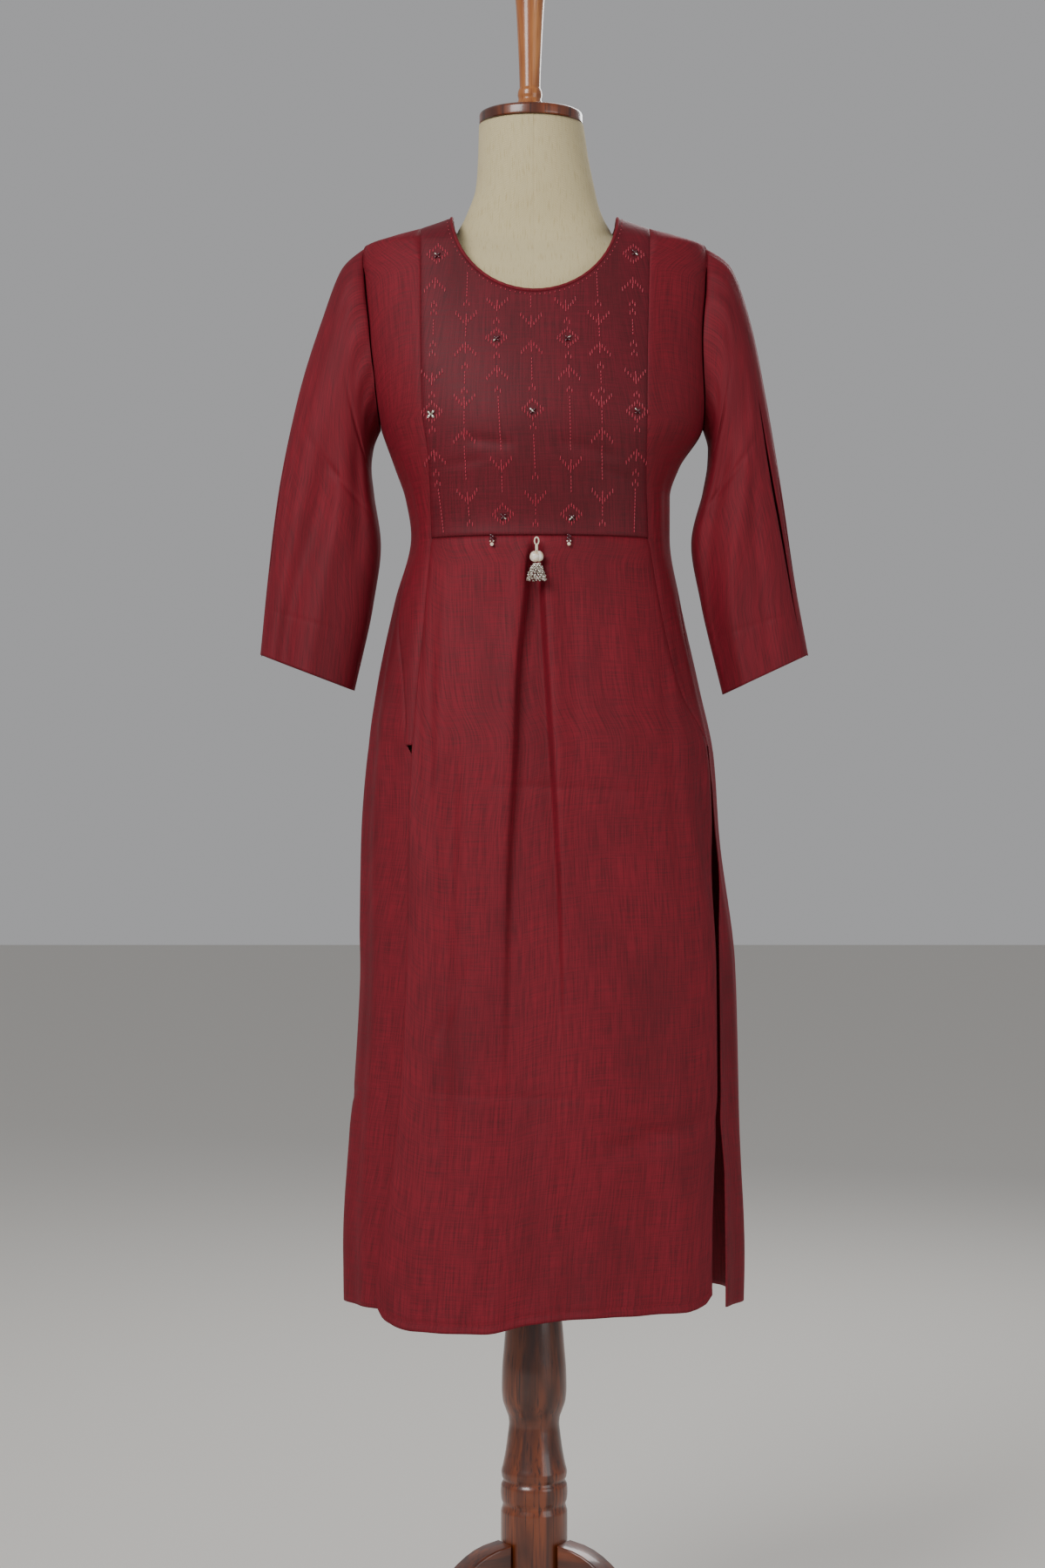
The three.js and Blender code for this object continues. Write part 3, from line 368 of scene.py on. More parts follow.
seam_columns = np.linspace(0.492, 0.508, 25)
torso_columns = np.union1d(np.linspace(0, 1, 217), seam_columns)
mesh = lay_grid("torso", torso_columns, np.linspace(0, 1, 260), form_point)
shape = bmesh.new()
shape.from_mesh(mesh)
bmesh.ops.remove_doubles(shape, verts=shape.verts, dist=0.00002)
bmesh.ops.holes_fill(shape, edges=[e for e in shape.edges if e.is_boundary], sides=0)
shape.to_mesh(mesh)
shape.free()
torso = add_object("torso", mesh, linen)
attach(torso, "root")
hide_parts("form_torso")

# ---------------------------------------------------------------- neck cap
# A turned disc of stained hardwood that closes the neck, with a rounded upper edge.
cap = wooden("neck-cap", lathe([
    (0, 1624.4), (52, 1624.4), (53, 1625.4), (53, 1633), (51.8, 1635), (49.5, 1636), (0, 1636)],
    40), dark_wood, centre=(-3.5, -8))
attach(cap, "root")
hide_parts("neck_cap")

# ---------------------------------------------------------------- finial
# The stand's top handle, turned from paler hardwood and varnished. It screws into the cap.
pale_wood = wood_material("Varnished pale hardwood", "#8A4A20", "#C27E42", 0.32, 0.5)
finial = wooden("finial-handle", lathe([
    (0, 1636.4), (14.4, 1636.4), (14.8, 1640), (13.4, 1645), (11.8, 1650), (12.6, 1654),
    (12.2, 1658), (10.6, 1662), (10.9, 1675), (12.2, 1705), (14, 1740), (16, 1765), (17, 1780),
    (16.2, 1792), (13, 1802), (7.5, 1808), (0, 1810)], 120, 48), pale_wood, centre=(-4.5, -8))
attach(finial, "root")
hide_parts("finial")

# ---------------------------------------------------------------- front skirt
# One panel of slubbed silk-cotton from slit to slit, with an inverted box pleat under the
# middle of the yoke. Sewn to the yoke along the bust seam and to the side fronts.
body = smooth_table([
    [385, -198, 215, 126, 122], [468, -198, 217, 124, 121], [594, -190, 212, 121, 118],
    [756, -180, 207, 119, 116], [891, -177, 190, 117, 117], [972, -171, 184, 115, 116],
    [1048, -160, 168, 110, 110], [1134, -143, 150, 103, 95], [1200, -127, 140, 103, 86],
    [1239, -133, 140, 112, 90], [1271, -144, 150, 121, 96], [1310, -158, 174, 126, 101],
    [1350, -170, 181, 121, 104], [1400, -180, 184, 107, 104], [1440, -182, 185, 93, 99],
    [1470, -180, 182, 81, 92], [1498, -174, 176, 69, 80], [1507, -150, 152, 63, 73],
    [1516, -118, 119, 57, 65], [1527, -86, 87, 50, 56]])
pleat = smooth_table([
    [640, -30, 30], [850, -26, 24], [960, -20, 18], [1060, -16, 12], [1130, -9, 8], [1193, -3, 6]])
front_edges = smooth_table([
    [400, -165, 180], [487, -154, 179], [560, -142, 181], [640, -134, 184], [770, -128, 184],
    [870, -127, 180], [922, -126, 179], [984, -123, 174], [1046, -119, 147], [1125, -111, 128],
    [1193, -105, 116]])
bust_seam, slit_top, back_hem = 1193, 984, 417
hem = smooth_table([
    [-165, 424], [-152, 408], [-120, 399], [-50, 400], [-5, 409], [60, 416], [150, 417],
    [172, 422], [182, 434]])


def soften(value):
    return np.sign(value) * np.abs(value) ** (2 / 2.3)


def oval_at(z):
    left, right, front, back = (read(body, k, z) for k in range(4))
    return (left + right) / 2, (right - left) / 2, front, back


def turn_of_x(x, z, on_back=False):
    """Degrees round the body's oval: 0 is the front, 90 the right-hand side, 180 the back."""
    middle, half, _, _ = oval_at(z)
    share = np.minimum(1, np.abs(x - middle) / half)
    turn = np.degrees(np.arcsin(share ** 1.15)) * np.sign(x - middle)
    if not on_back:
        return turn
    return np.where(turn >= 0, 180 - turn, -180 - turn)


def x_of_turn(turn, z):
    middle, half, _, _ = oval_at(z)
    return middle + half * soften(np.sin(np.radians(turn)))


def crease(x, z, start, end, depth, width, sharp=False):
    """A trough along a line on the cloth, fading out at both ends; a ridge below depth 0."""
    dx, dz = end[0] - start[0], end[1] - start[1]
    length = math.hypot(dx, dz)
    along = ((x - start[0]) * dx + (z - start[1]) * dz) / length**2
    across = ((x - start[0]) * dz - (z - start[1]) * dx) / length
    fade = smooth_step(-0.12, 0.25, along) * smooth_step(1.12, 0.75, along)
    shape = np.exp(-np.abs(across / width)) if sharp else np.exp(-((across / width) ** 2))
    return -depth * shape * fade


def front_fold(x, z):
    """Folds of the cloth's front, as millimetres out of the oval."""
    below = smooth_step(bust_seam + 2, bust_seam - 30, z)
    left, right = read(pleat, 0, z), read(pleat, 1, z)
    inside = smooth_step(left - 3.5, left + 3.5, x) * smooth_step(right + 3.5, right - 3.5, x)
    fold = -13 * below * smooth_step(560, 1000, z) * inside
    edges = bell(x, left - 8, 9) + bell(x, right + 8, 9)
    fold += 2.5 * below * smooth_step(700, 1050, z) * edges
    trough = bell(x, -90 + (z - 800) * 0.02, 13)
    fold -= 5 * trough * smooth_step(480, 640, z) * smooth_step(1000, 900, z)
    fold -= 3 * bell(x, 6, 22) * smooth_step(560, 420, z)
    fold += 3 * (bell(x, -60, 24) + bell(x, 62, 30)) * smooth_step(900, 600, z)
    fold -= 3 * bell(x, 118, 20) * smooth_step(820, 600, z)
    fold -= 3 * bell(z, 590 + (x - 110) * 0.25, 13) * smooth_step(50, 90, x)
    # Creases pressed in by folding, then the soft folds that hang below the seams.
    for start, end, depth, width, sharp in (
        ((-43, 944), (146, 936), 1.5, 4.5, True), ((-120, 637), (60, 632), 0.9, 4, True),
        ((70, 612), (150, 590), 1.8, 6, True), ((60, 596), (120, 572), 1.2, 5, True),
        ((-66, 767), (-95, 692), 2.2, 6, False), ((-78, 742), (-96, 660), -1.6, 8, False),
        ((-95, 557), (-101, 405), 1.8, 5, True), ((-43, 557), (-46, 402), 1.6, 5, True),
        ((-114, 1120), (-118, 880), 2.0, 5, False), ((-103, 1100), (-108, 860), 1.8, 5, False),
        ((-90, 1150), (-96, 920), -1.4, 6, False), ((-76, 1060), (-84, 840), 1.2, 6, False),
        ((36, 1150), (44, 980), 1.2, 9, False), ((84, 1160), (100, 860), -1.6, 12, False),
        ((128, 1100), (150, 820), 1.6, 9, False), ((12, 640), (22, 410), -1.8, 12, False),
        ((92, 560), (84, 415), 1.4, 9, False), ((140, 700), (146, 450), -1.4, 9, False),
        ((-128, 780), (-146, 470), -1.6, 8, False), ((-70, 1288), (-20, 1282), 1.6, 6, False),
        ((24, 1286), (84, 1270), 1.8, 6, False), ((60, 1262), (104, 1246), 1.2, 5, False),
        ((-96, 1262), (-48, 1268), 1.0, 5, False)):
        fold += crease(x, z, start, end, depth, width, sharp)
    # The lapped bust seam, the stitched hem with its puckers and the slits' turned hems.
    fold -= 1.7 * smooth_step(bust_seam - 7, bust_seam, z) * (z < bust_seam + 0.4)
    lift = z - read(hem, 0, x)
    fold -= 0.7 * bell(lift, 8, 1.8) * (1 + 0.6 * np.sin(x * 0.62 + np.sin(x * 0.11)))
    fold += 1.4 * np.sin(x * 0.13 + 0.8) * smooth_step(60, 0, lift)
    slit = smooth_step(slit_top + 6, slit_top - 24, z)
    for edge, way in ((0, 1), (1, -1)):
        fold -= 0.6 * slit * bell(x, read(front_edges, edge, z) + 21 * way, 1.6)
    return fold


def back_fold(x, z):
    """Folds of the cloth's back, soft and uneven like those of the front."""
    lower = smooth_step(1040, 620, z)
    fold = lower * (4 * np.cos((x + 12) * 0.062) + 3 * np.cos((x - 40) * 0.031 + 1))
    fold -= 2.5 * bell(z, 1205, 22) * bell(x, -55, 40) + 2 * bell(z, 1222, 14) * bell(x, 60, 45)
    for start, end, depth, width, sharp in (
        ((-90, 945), (110, 938), 1.3, 4.5, True), ((-60, 640), (90, 634), 0.9, 4, True),
        ((-80, 1210), (20, 1192), 2.0, 7, False), ((-40, 1180), (70, 1196), 1.6, 7, False),
        ((70, 1150), (96, 930), 1.8, 8, False), ((-70, 1160), (-92, 940), 1.8, 8, False),
        ((10, 1420), (30, 1250), -1.2, 16, False), ((-86, 1450), (-104, 1330), 1.5, 9, False),
        ((88, 1446), (104, 1330), 1.5, 9, False), ((0, 700), (8, 440), -1.5, 12, False)):
        fold += crease(x, z, start, end, depth, width, sharp)
    lift = z - back_hem
    fold -= 0.7 * bell(lift, 8, 1.8) * (1 + 0.6 * np.sin(x * 0.58))
    return fold + 1.6 * np.sin(x * 0.11) * smooth_step(70, 0, lift)


def side_fold(turn, z):
    """Soft upright folds where the skirt hangs from the waist at the sides."""
    spread_out = smooth_step(1180, 1040, z)
    fold = 1.6 * np.sin(turn * 0.32 + z * 0.004) * spread_out
    fold -= 3.0 * bell(turn, -82, 5) * smooth_step(800, 740, z) * smooth_step(590, 640, z)
    fold -= 1.5 * bell(z, 622 + (turn + 90) * 1.1, 6) * bell(turn, -84, 10)
    fold -= 2.0 * bell(turn, 104, 6) * smooth_step(1000, 800, z)
    fold -= 1.6 * bell(np.abs(turn), 72, 6) * bell(z, 1235, 60)
    return fold


def body_point(turn, z, inward=0.0):
    """A place on the outside of the tunic's body."""
    middle, half, front, back = oval_at(z)
    angle = np.radians(turn)
    forward = np.cos(angle) >= 0
    depth = np.where(forward, front, back)
    x = middle + half * soften(np.sin(angle))
    y = -depth * soften(np.cos(angle))
    out_x = np.sign(x - middle) * (np.abs(x - middle) / half) ** 1.3 / half
    out_y = np.sign(y) * (np.abs(y) / depth) ** 1.3 / depth
    size = np.maximum(np.hypot(out_x, out_y), 1e-9)
    facing = smooth_step(0.1, 0.5, np.cos(angle) ** 2)
    signed = np.where(turn > 180, turn - 360, turn)
    fold = np.where(forward, front_fold(x, z), back_fold(x, z)) * facing
    fold = fold + side_fold(signed, z) * (1 - facing) - inward
    return np.stack([x + out_x / size * fold, y + out_y / size * fold, z + 0 * fold], -1)


def seam_dip(distance):
    """How far the cloth is drawn in beside a seam."""
    return 0.9 * np.exp(-((distance / 2.4) ** 2))


def banded(v, levels, counts):
    """A height that crosses each band of levels in its own share of the rows."""
    rows = v * sum(counts)
    height = levels[0] + 0 * rows
    for k, count in enumerate(counts):
        share = np.clip((rows - sum(counts[:k])) / count, 0, 1)
        height = height + (levels[k + 1] - levels[k]) * share
    return height


def with_edges(places, width):
    """Adds close columns at both ends of a row of places, for a seam width mm wide."""
    close = np.array([1.2, 2.4, 3.6, 5.0]) / width
    return np.unique(np.concatenate([places, close, 1 - close]))


def cloth_material(name, dark, light, roughness, sheen):
    """Plain-woven silk-cotton with uneven slubs both ways and a slight lustre."""
    material, shader = new_material(name, light, roughness)
    link = material.node_tree.links.new
    place = add_node(material, "ShaderNodeUVMap", {"uv_map": "cloth"}).outputs[0]
    slubs = []
    for scale in ((620, 26, 1), (30, 760, 1), (2400, 2400, 1), (11, 5, 1)):
        mapped = add_node(material, "ShaderNodeMapping", {"Scale": scale}, {"Vector": place})
        noise = add_node(material, "ShaderNodeTexNoise", {"Scale": 1.0, "Detail": 3.0},
                         {"Vector": mapped.outputs[0]})
        slubs.append(noise.outputs[0])
    warp = blend_colours(material, dark, light, spread(material, slubs[0], 0.3, 0.62))
    weft = blend_colours(material, dark, light, spread(material, slubs[1], 0.3, 0.62))
    crossed = add_node(material, "ShaderNodeMix", {"data_type": "RGBA", 0: 0.4}, {6: warp, 7: weft})
    worn = spread(material, slubs[3], 0.1, 0.5)
    link(blend_colours(material, dark, crossed.outputs[2], worn), shader.inputs["Base Color"])
    height = add_node(material, "ShaderNodeMath", {"operation": "ADD"}, {0: slubs[0], 1: slubs[2]})
    bump = add_node(material, "ShaderNodeBump", {"Strength": 0.4, "Distance": 0.0003},
                    {"Height": height.outputs[0]})
    link(bump.outputs[0], shader.inputs["Normal"])
    rough = add_node(material, "ShaderNodeMapRange",
                     {"To Min": roughness - 0.08, "To Max": roughness + 0.1}, {"Value": slubs[1]})
    link(rough.outputs[0], shader.inputs["Roughness"])
    shader.inputs["Sheen Weight"].default_value = sheen
    shader.inputs["Sheen Roughness"].default_value = 0.4
    shader.inputs["Sheen Tint"].default_value = linear(light)
    shader.inputs["Specular IOR Level"].default_value = 0.3
    return material


def add_cloth(name, mesh, material, wall=0.0012):
    piece = add_object(name, mesh, material)
    shell = piece.modifiers.new("cloth thickness", "SOLIDIFY")
    shell.thickness = wall
    shell.offset = -1
    return piece


kurta_cloth = cloth_material("Maroon slubbed silk-cotton", "#4C0813", "#7C1022", 0.68, 0.2)


def front_skirt(u, v):
    hem_x = mix(-165, 180, u)
    z = banded(v, [read(hem, 0, hem_x), slit_top, bust_seam], [13, 5])
    left, right = read(front_edges, 0, z), read(front_edges, 1, z)
    beside = np.minimum(u, 1 - u) * (right - left)
    x = mix(left, right, u)
    return body_point(turn_of_x(x, z), z, seam_dip(beside) * smooth_step(slit_top - 4, slit_top + 16, z))


share = np.linspace(0, 1, 131)
crowded = share - 0.05 * (np.sin(2 * np.pi * (share - 0.46)) - math.sin(-0.92 * math.pi))
skirt_mesh = lay_grid("front-skirt", with_edges(crowded, 300), np.linspace(0, 1, 290), front_skirt)
skirt = add_cloth("front-skirt", skirt_mesh, kurta_cloth)
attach(skirt, "root")
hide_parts("front_skirt")

# ---------------------------------------------------------------- front yoke
# The embroidered bib from the shoulders to the bust seam, cut with a scooped neck.
# The same cloth in a deeper shade, lined up with the side fronts and lapped over the skirt.
yoke_cloth = cloth_material("Deep maroon yoke cloth", "#420710", "#680E1E", 0.6, 0.2)
neck_half, neck_middle, neck_side, front_drop, back_drop = 86, 0.5, 1527, 88, 30
shoulder_point = 1498
yoke_edges = smooth_table([[1193, -105, 116], [1270, -107, 113], [1318, -113, 113], [1516, -116, 118]])


def inner_edge(z, side):
    """Where the princess seam lies at a height; side 0 is the left-hand one."""
    return np.where(z <= bust_seam, read(front_edges, side, z), read(yoke_edges, side, z))


def ridge_z(x):
    """The height of the shoulder seam above a place across the body."""
    z = body[0][body[0] >= shoulder_point]
    left = np.interp(-x, -read(body, 0, z)[::-1], z[::-1])
    return np.where(x < 0, left, np.interp(x, read(body, 1, z)[::-1], z[::-1]))


def yoke_top(u):
    neck = math.pi * np.clip((u - 0.1) / 0.8, 0, 1)
    left = mix(-116, -85.5, u / 0.1)
    right = mix(86.5, 118, (u - 0.9) / 0.1)
    x = np.where(u < 0.1, left, np.where(u > 0.9, right, neck_middle - neck_half * np.cos(neck)))
    on_shoulder = (u < 0.1) | (u > 0.9)
    return x, np.where(on_shoulder, ridge_z(x), neck_side - front_drop * np.sin(neck))


def yoke_point(u, v):
    top_x, top_z = yoke_top(u)
    z = mix(bust_seam, top_z, v)
    left, right = inner_edge(z + 0.001, 0), inner_edge(z + 0.001, 1)
    plain_top = mix(inner_edge(top_z, 0), inner_edge(top_z, 1), u)
    x = mix(left, right, u) + (top_x - plain_top) * v**1.6
    inward = seam_dip(np.minimum(u, 1 - u) * 220) + 0.9 * bell(top_z - z, 0, 2.0)
    return body_point(turn_of_x(x, z), z, inward)


yoke_mesh = lay_grid("front-yoke", with_edges(np.linspace(0, 1, 121), 220),
                     np.linspace(0, 1, 130), yoke_point)
yoke = add_cloth("front-yoke", yoke_mesh, yoke_cloth)
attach(yoke, "root")
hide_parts("front_yoke")

# ---------------------------------------------------------------- side fronts
# A long panel each side, from shoulder and armhole down to a point at the slit's top.
# Maroon slubbed cloth, sewn to the yoke and skirt by a princess seam and to the back.
underarm = 1310


def side_seam_turn(z, way):
    """Turn of the side seam: at the side under the arm, swung forward to the slit's top."""
    side = 0 if way < 0 else 1
    slit = abs(float(turn_of_x(inner_edge(slit_top, side), slit_top)))
    return way * mix(slit + 4, 90, smooth_step(slit_top, underarm - 60, z))


def armhole_x(z, way):
    middle, half, _, _ = oval_at(z)
    along = np.clip((z - underarm) / (shoulder_point - underarm), 0, 1)
    return middle + way * half * (1 - 0.07 * np.sin(math.pi * along))


def side_front(way):
    def surface(u, v):
        top_x = mix(-174, -116, u) if way < 0 else mix(176, 118, u)
        z = banded(v, [slit_top + 0 * u, bust_seam, ridge_z(top_x)], [5, 9])
        seam_turn, hole_turn = side_seam_turn(z, way), turn_of_x(armhole_x(z, way), z)
        outer = np.where(z < underarm, seam_turn, hole_turn)
        inner = turn_of_x(inner_edge(z, 0 if way < 0 else 1), z)
        lean = smooth_step(0.9, 1, v) * np.minimum(1, np.minimum(6 * u, 6 * (1 - u)))
        turn = mix(mix(outer, inner, u), way * 90, lean)
        width = np.abs(x_of_turn(outer, z) - x_of_turn(inner, z)) + 8
        return body_point(turn, z, seam_dip(np.minimum(u, 1 - u) * width))
    return surface


for node, way in (("side_front_left", -1), ("side_front_right", 1)):
    mesh = lay_grid(node.replace("_", "-"), with_edges(np.linspace(0, 1, 33), 60),
                    np.linspace(0, 1, 220), side_front(way))
    panel = add_cloth(node.replace("_", "-"), mesh, kurta_cloth)
    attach(panel, "root")
    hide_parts(node)

# ---------------------------------------------------------------- back
# One panel round from side seam to side seam and slit to slit, with a shallow neck.
# Maroon slubbed cloth. At the left-hand slit it runs 12 mm under the front skirt.
back_slit = smooth_table([[400, 193], [548, 193], [604, 189], [760, 189], [875, 187], [984, 176]])


def back_edge_turn(z, way):
    whole = 360 if way < 0 else 0
    slit_x = x_of_turn(side_seam_turn(slit_top, way), slit_top)
    stepped = smooth_step(slit_top, slit_top - 50, z)
    if way > 0:
        slit_turn = turn_of_x(mix(slit_x, read(back_slit, 0, z), stepped), z)
    else:
        lapped = 12 * smooth_step(slit_top + 4, slit_top - 26, z)
        slit_turn = 360 + turn_of_x(mix(slit_x, read(front_edges, 0, z) - 3, stepped) + lapped, z)
    hole_turn = whole + turn_of_x(armhole_x(z, way), z, True)
    seam_turn = whole + side_seam_turn(z, way)
    return np.where(z > underarm, hole_turn, np.where(z > slit_top, seam_turn, slit_turn))


def back_point(u, v):
    top_x = mix(176, -174, u)
    neck = np.arccos(np.clip(-(top_x - neck_middle) / neck_half, -1, 1))
    on_shoulder = np.abs(top_x - neck_middle) >= neck_half
    top_z = np.where(on_shoulder, ridge_z(top_x), neck_side - back_drop * np.sin(neck))
    z = banded(v, [back_hem + 0 * u, slit_top, bust_seam, top_z], [13, 5, 9])
    right, left = back_edge_turn(z, 1), back_edge_turn(z, -1)
    turn = mix(right, left, u)
    plain_top = x_of_turn(mix(back_edge_turn(top_z, 1), back_edge_turn(top_z, -1), u), top_z)
    x = x_of_turn(turn, z) + (top_x - plain_top) * smooth_step(0.8, 1, v)
    leaning = turn_of_x(x, z, True)
    turn = np.where(v > 0.8, np.where(leaning < 0, 360 + leaning, leaning), turn)
    inward = 3.6 * smooth_step(0.8, 0.95, u) * smooth_step(slit_top + 26, slit_top - 8, z)
    above_slit = smooth_step(slit_top - 4, slit_top + 16, z)
    inward += seam_dip(np.minimum(u, 1 - u) * 480) * above_slit
    return body_point(turn, z, inward)


back_mesh = lay_grid("back-panel", with_edges(np.linspace(0, 1, 150), 480), np.linspace(0, 1, 270),
                     back_point)
back = add_cloth("back-panel", back_mesh, kurta_cloth)
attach(back, "root")
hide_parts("back")

# ---------------------------------------------------------------- sleeves
# Three-quarter sleeves of the same cloth, set into the armholes with a seam under the arm.
# Two slashes down the outside leave a narrow strip between them; the cuff is turned up.
sleeve_tables = {
    -1: smooth_table([
        [0, -176, 1497, -160, 1308, 52, 2], [0.1, -196, 1480, -166, 1292, 52, 2],
        [0.24, -220, 1420, -168, 1272, 50, 0], [0.4, -243, 1345, -165, 1243, 46, -2],
        [0.6, -264, 1242, -158, 1190, 42, -4], [0.8, -274, 1160, -166, 1128, 40, -6],
        [1, -282, 1078, -185, 1041, 36, -8]]),
    1: smooth_table([
        [0, 178, 1497, 176, 1308, 52, 2], [0.1, 200, 1482, 180, 1292, 52, 2],
        [0.24, 222, 1425, 179, 1274, 50, 0], [0.4, 238, 1348, 174, 1246, 46, -2],
        [0.6, 256, 1240, 162, 1192, 44, -4], [0.8, 268, 1156, 172, 1130, 41, -6],
        [1, 282, 1078, 194, 1037, 36, -8]])}
long_slash, short_slash = (5 / 13, 12 / 13), (7 / 13, 11 / 13)
strip_turns = smooth_table([[0, 6], [1, 13], [2, 25], [3, 32], [10, 180], [20, 366]])


def sleeve_fold(way, turn, v):
    """Folds of a sleeve, as millimetres of its half depth."""
    def after(start, end):
        return smooth_step(start, end, v)
    if way < 0:
        fold = -9 * bell(turn, mix(88, 64, after(0.4, 0.95)), 13) * after(0.3, 0.6)
        fold -= 5 * bell(turn, 125, 11) * after(0.2, 0.4) * after(0.8, 0.55)
        fold -= 4 * bell(turn, 275, 20) * after(0.25, 0.6)
        fold += 2.5 * bell(turn, mix(104, 92, v), 8) * after(0.35, 0.6)
        fold -= 2 * bell(turn, mix(48, 40, v), 7) * after(0.15, 0.3) * after(0.9, 0.6)
        fold -= 3 * bell(v, 0.26 + (turn - 130) * 0.0012, 0.014) * bell(turn, 130, 26)
    else:
        fold = 4 * bell(turn, mix(62, 120, after(0.3, 0.95)), 12) * after(0.2, 0.45)
        crossing = bell(turn, mix(110, 150, after(0.3, 0.95)), 17)
        fold -= 9 * crossing * after(0.25, 0.5) * after(1.05, 0.85)
        fold -= 4 * bell(turn, 265, 22) * after(0.25, 0.6)
        fold -= 2.5 * bell(turn, mix(60, 84, v), 8) * after(0.2, 0.45)
        fold -= 3 * bell(v, 0.25 + (turn - 120) * 0.0014, 0.013) * bell(turn, 125, 24)
    fold -= 1.8 * bell(v, 0.42 + 0.0006 * turn, 0.012) * bell(turn, 100, 40)
    fold -= 0.7 * bell(v, 0.885, 0.005) * (1 + 0.4 * np.sin(turn * 0.35))
    return fold


def sleeve_point(way, turn, v):
    table = sleeve_tables[way]
    outer_x, outer_z, inner_x, inner_z, depth, behind = (read(table, k, v) for k in range(6))
    angle = np.radians(turn)
    c, s = np.cos(angle), np.sin(angle)
    round_c = np.sign(c) * np.abs(c) ** (2 / 2.2)
    round_s = np.sign(s) * np.abs(s) ** (2 / 2.2)
    x = (outer_x + inner_x) / 2 + (outer_x - inner_x) / 2 * round_c
    z = (outer_z + inner_z) / 2 + (outer_z - inner_z) / 2 * round_c
    gather = 0.8 * np.sin(turn * 0.31) * smooth_step(0.2, 0.12, v)
    y = behind - (depth + sleeve_fold(way, turn % 360, v) + gather) * round_s
    rim_z = mix(underarm, shoulder_point, (1 + c) / 2)
    armhole = armhole_x(rim_z, way)
    rim_turn = np.where(s < 0, turn_of_x(armhole, rim_z, True), turn_of_x(armhole, rim_z))
    rim = body_point(rim_turn, rim_z) + np.array((0.5 * way, 0, 0))
    share = np.where(v < 0.12, np.clip(1 - v / 0.12, 0, 1) ** 2, 0)[:, None]
    return np.stack([x, y, z], -1) * (1 - share) + rim * share


def slash_half(v, ends):
    """Half the width of a slash, as a share of its strip of cloth, narrowing to its ends."""
    share = np.clip((v - ends[0]) / (ends[1] - ends[0]), 0, 1)
    return 0.03 + 0.47 * np.sin(math.pi * share) ** 0.6


def sleeve_surface(way):
    def surface(i, v):
        half_long, half_short = slash_half(v, long_slash), slash_half(v, short_slash)
        step = np.where(i < 0, i + 20, i)
        warped = np.where(i < 0, mix(10, 20.5 - half_short, (i + 10) / 10), step)
        first = mix(0.5 + half_short, 2.5 - half_long, np.clip(i - 1, 0, 1))
        last = mix(2.5 + half_long, 10, np.clip((i - 3) / 7, 0, 1))
        warped = np.where(i == 0, 0.5 - half_short, warped)
        warped = np.where((i >= 1) & (i <= 2), first, warped)
        warped = np.where(i >= 3, last, warped)
        turn = read(strip_turns, 0, warped)
        if way < 0:
            return sleeve_point(way, turn - 14, v)
        return sleeve_point(way, turn + 4 + 12 * smooth_step(0.8, 0.4, v), v)
    return surface


strips = [np.linspace(-10, 0, 76), np.linspace(1, 2, 8), np.linspace(3, 10, 60)]
strip_places = np.concatenate(strips)
short_column, long_column = np.searchsorted(strip_places, (0, 2))
sleeve_rows = 182


def slashed(i, j):
    """True for the cells of the grid that lie in a slash."""
    v = (j + 0.5) / sleeve_rows
    in_short = i == short_column and short_slash[0] < v < short_slash[1]
    return in_short or (i == long_column and long_slash[0] < v < long_slash[1])


for node, way in (("sleeve_left", -1), ("sleeve_right", 1)):
    mesh = lay_grid(node.replace("_", "-"), strip_places, np.linspace(0, 1, sleeve_rows + 1),
                    sleeve_surface(way), tube=True, gaps=slashed)
    sleeve = add_cloth(node.replace("_", "-"), mesh, kurta_cloth)
    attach(sleeve, "root")
    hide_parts(node)

# ---------------------------------------------------------------- neck binding
# A narrow turned edge of the kurta's own cloth round the whole neck, slip-stitched inside.
binding_inset, binding_radius = 0.9, 1.7


def neck_centre(angle):
    """The middle of the binding, just inside the neck edge."""
    on_back = np.sin(angle) < 0
    rise = np.abs(np.sin(angle))
    drop = np.where(on_back, back_drop, front_drop)
    edge_x = neck_middle - neck_half * np.cos(angle)
    edge_z = neck_side - drop * rise
    turn = np.where(on_back, turn_of_x(edge_x, edge_z, True), turn_of_x(edge_x, edge_z))
    edge = body_point(turn, edge_z, 0.9)
    lean = np.where(on_back, -1, 1)
    y = edge[..., 1] + lean * 0.5 * rise**2
    z = neck_side - (drop - binding_inset) * rise - 0.4
    return np.stack([edge_x * (1 - binding_inset / neck_half), y, z], -1)


def binding_point(u, v):
    angle = 2 * math.pi * u
    centre = neck_centre(angle)
    ahead = neck_centre(angle + 0.01) - neck_centre(angle - 0.01)
    ahead /= np.linalg.norm(ahead, axis=1)[:, None]
    side = np.cross(np.array((0.0, 0.0, 1.0)), ahead)
    side /= np.linalg.norm(side, axis=1)[:, None]
    over = np.cross(ahead, side)
    pucker = 1 + 0.05 * np.sin(angle * 60)
    turn = (2 * math.pi * v)[:, None]
    return centre + (side * np.cos(turn) + over * np.sin(turn)) * (binding_radius * pucker)[:, None]


mesh = lay_grid("neck-binding", np.linspace(0, 1, 361), np.linspace(0, 1, 15), binding_point)
shape = bmesh.new()
shape.from_mesh(mesh)
bmesh.ops.remove_doubles(shape, verts=shape.verts, dist=0.00002)
bmesh.ops.recalc_face_normals(shape, faces=shape.faces)
shape.to_mesh(mesh)
shape.free()
binding = add_object("neck-binding", mesh, kurta_cloth)
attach(binding, "root")
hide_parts("neck_binding")

# ---------------------------------------------------------------- embroidery
# Seven upright runs of crimson silk floss on the yoke: straight stitches 5 mm long, laid in
# rings, arrow sprigs and small knots on a thread line, and a running stitch round the neck.


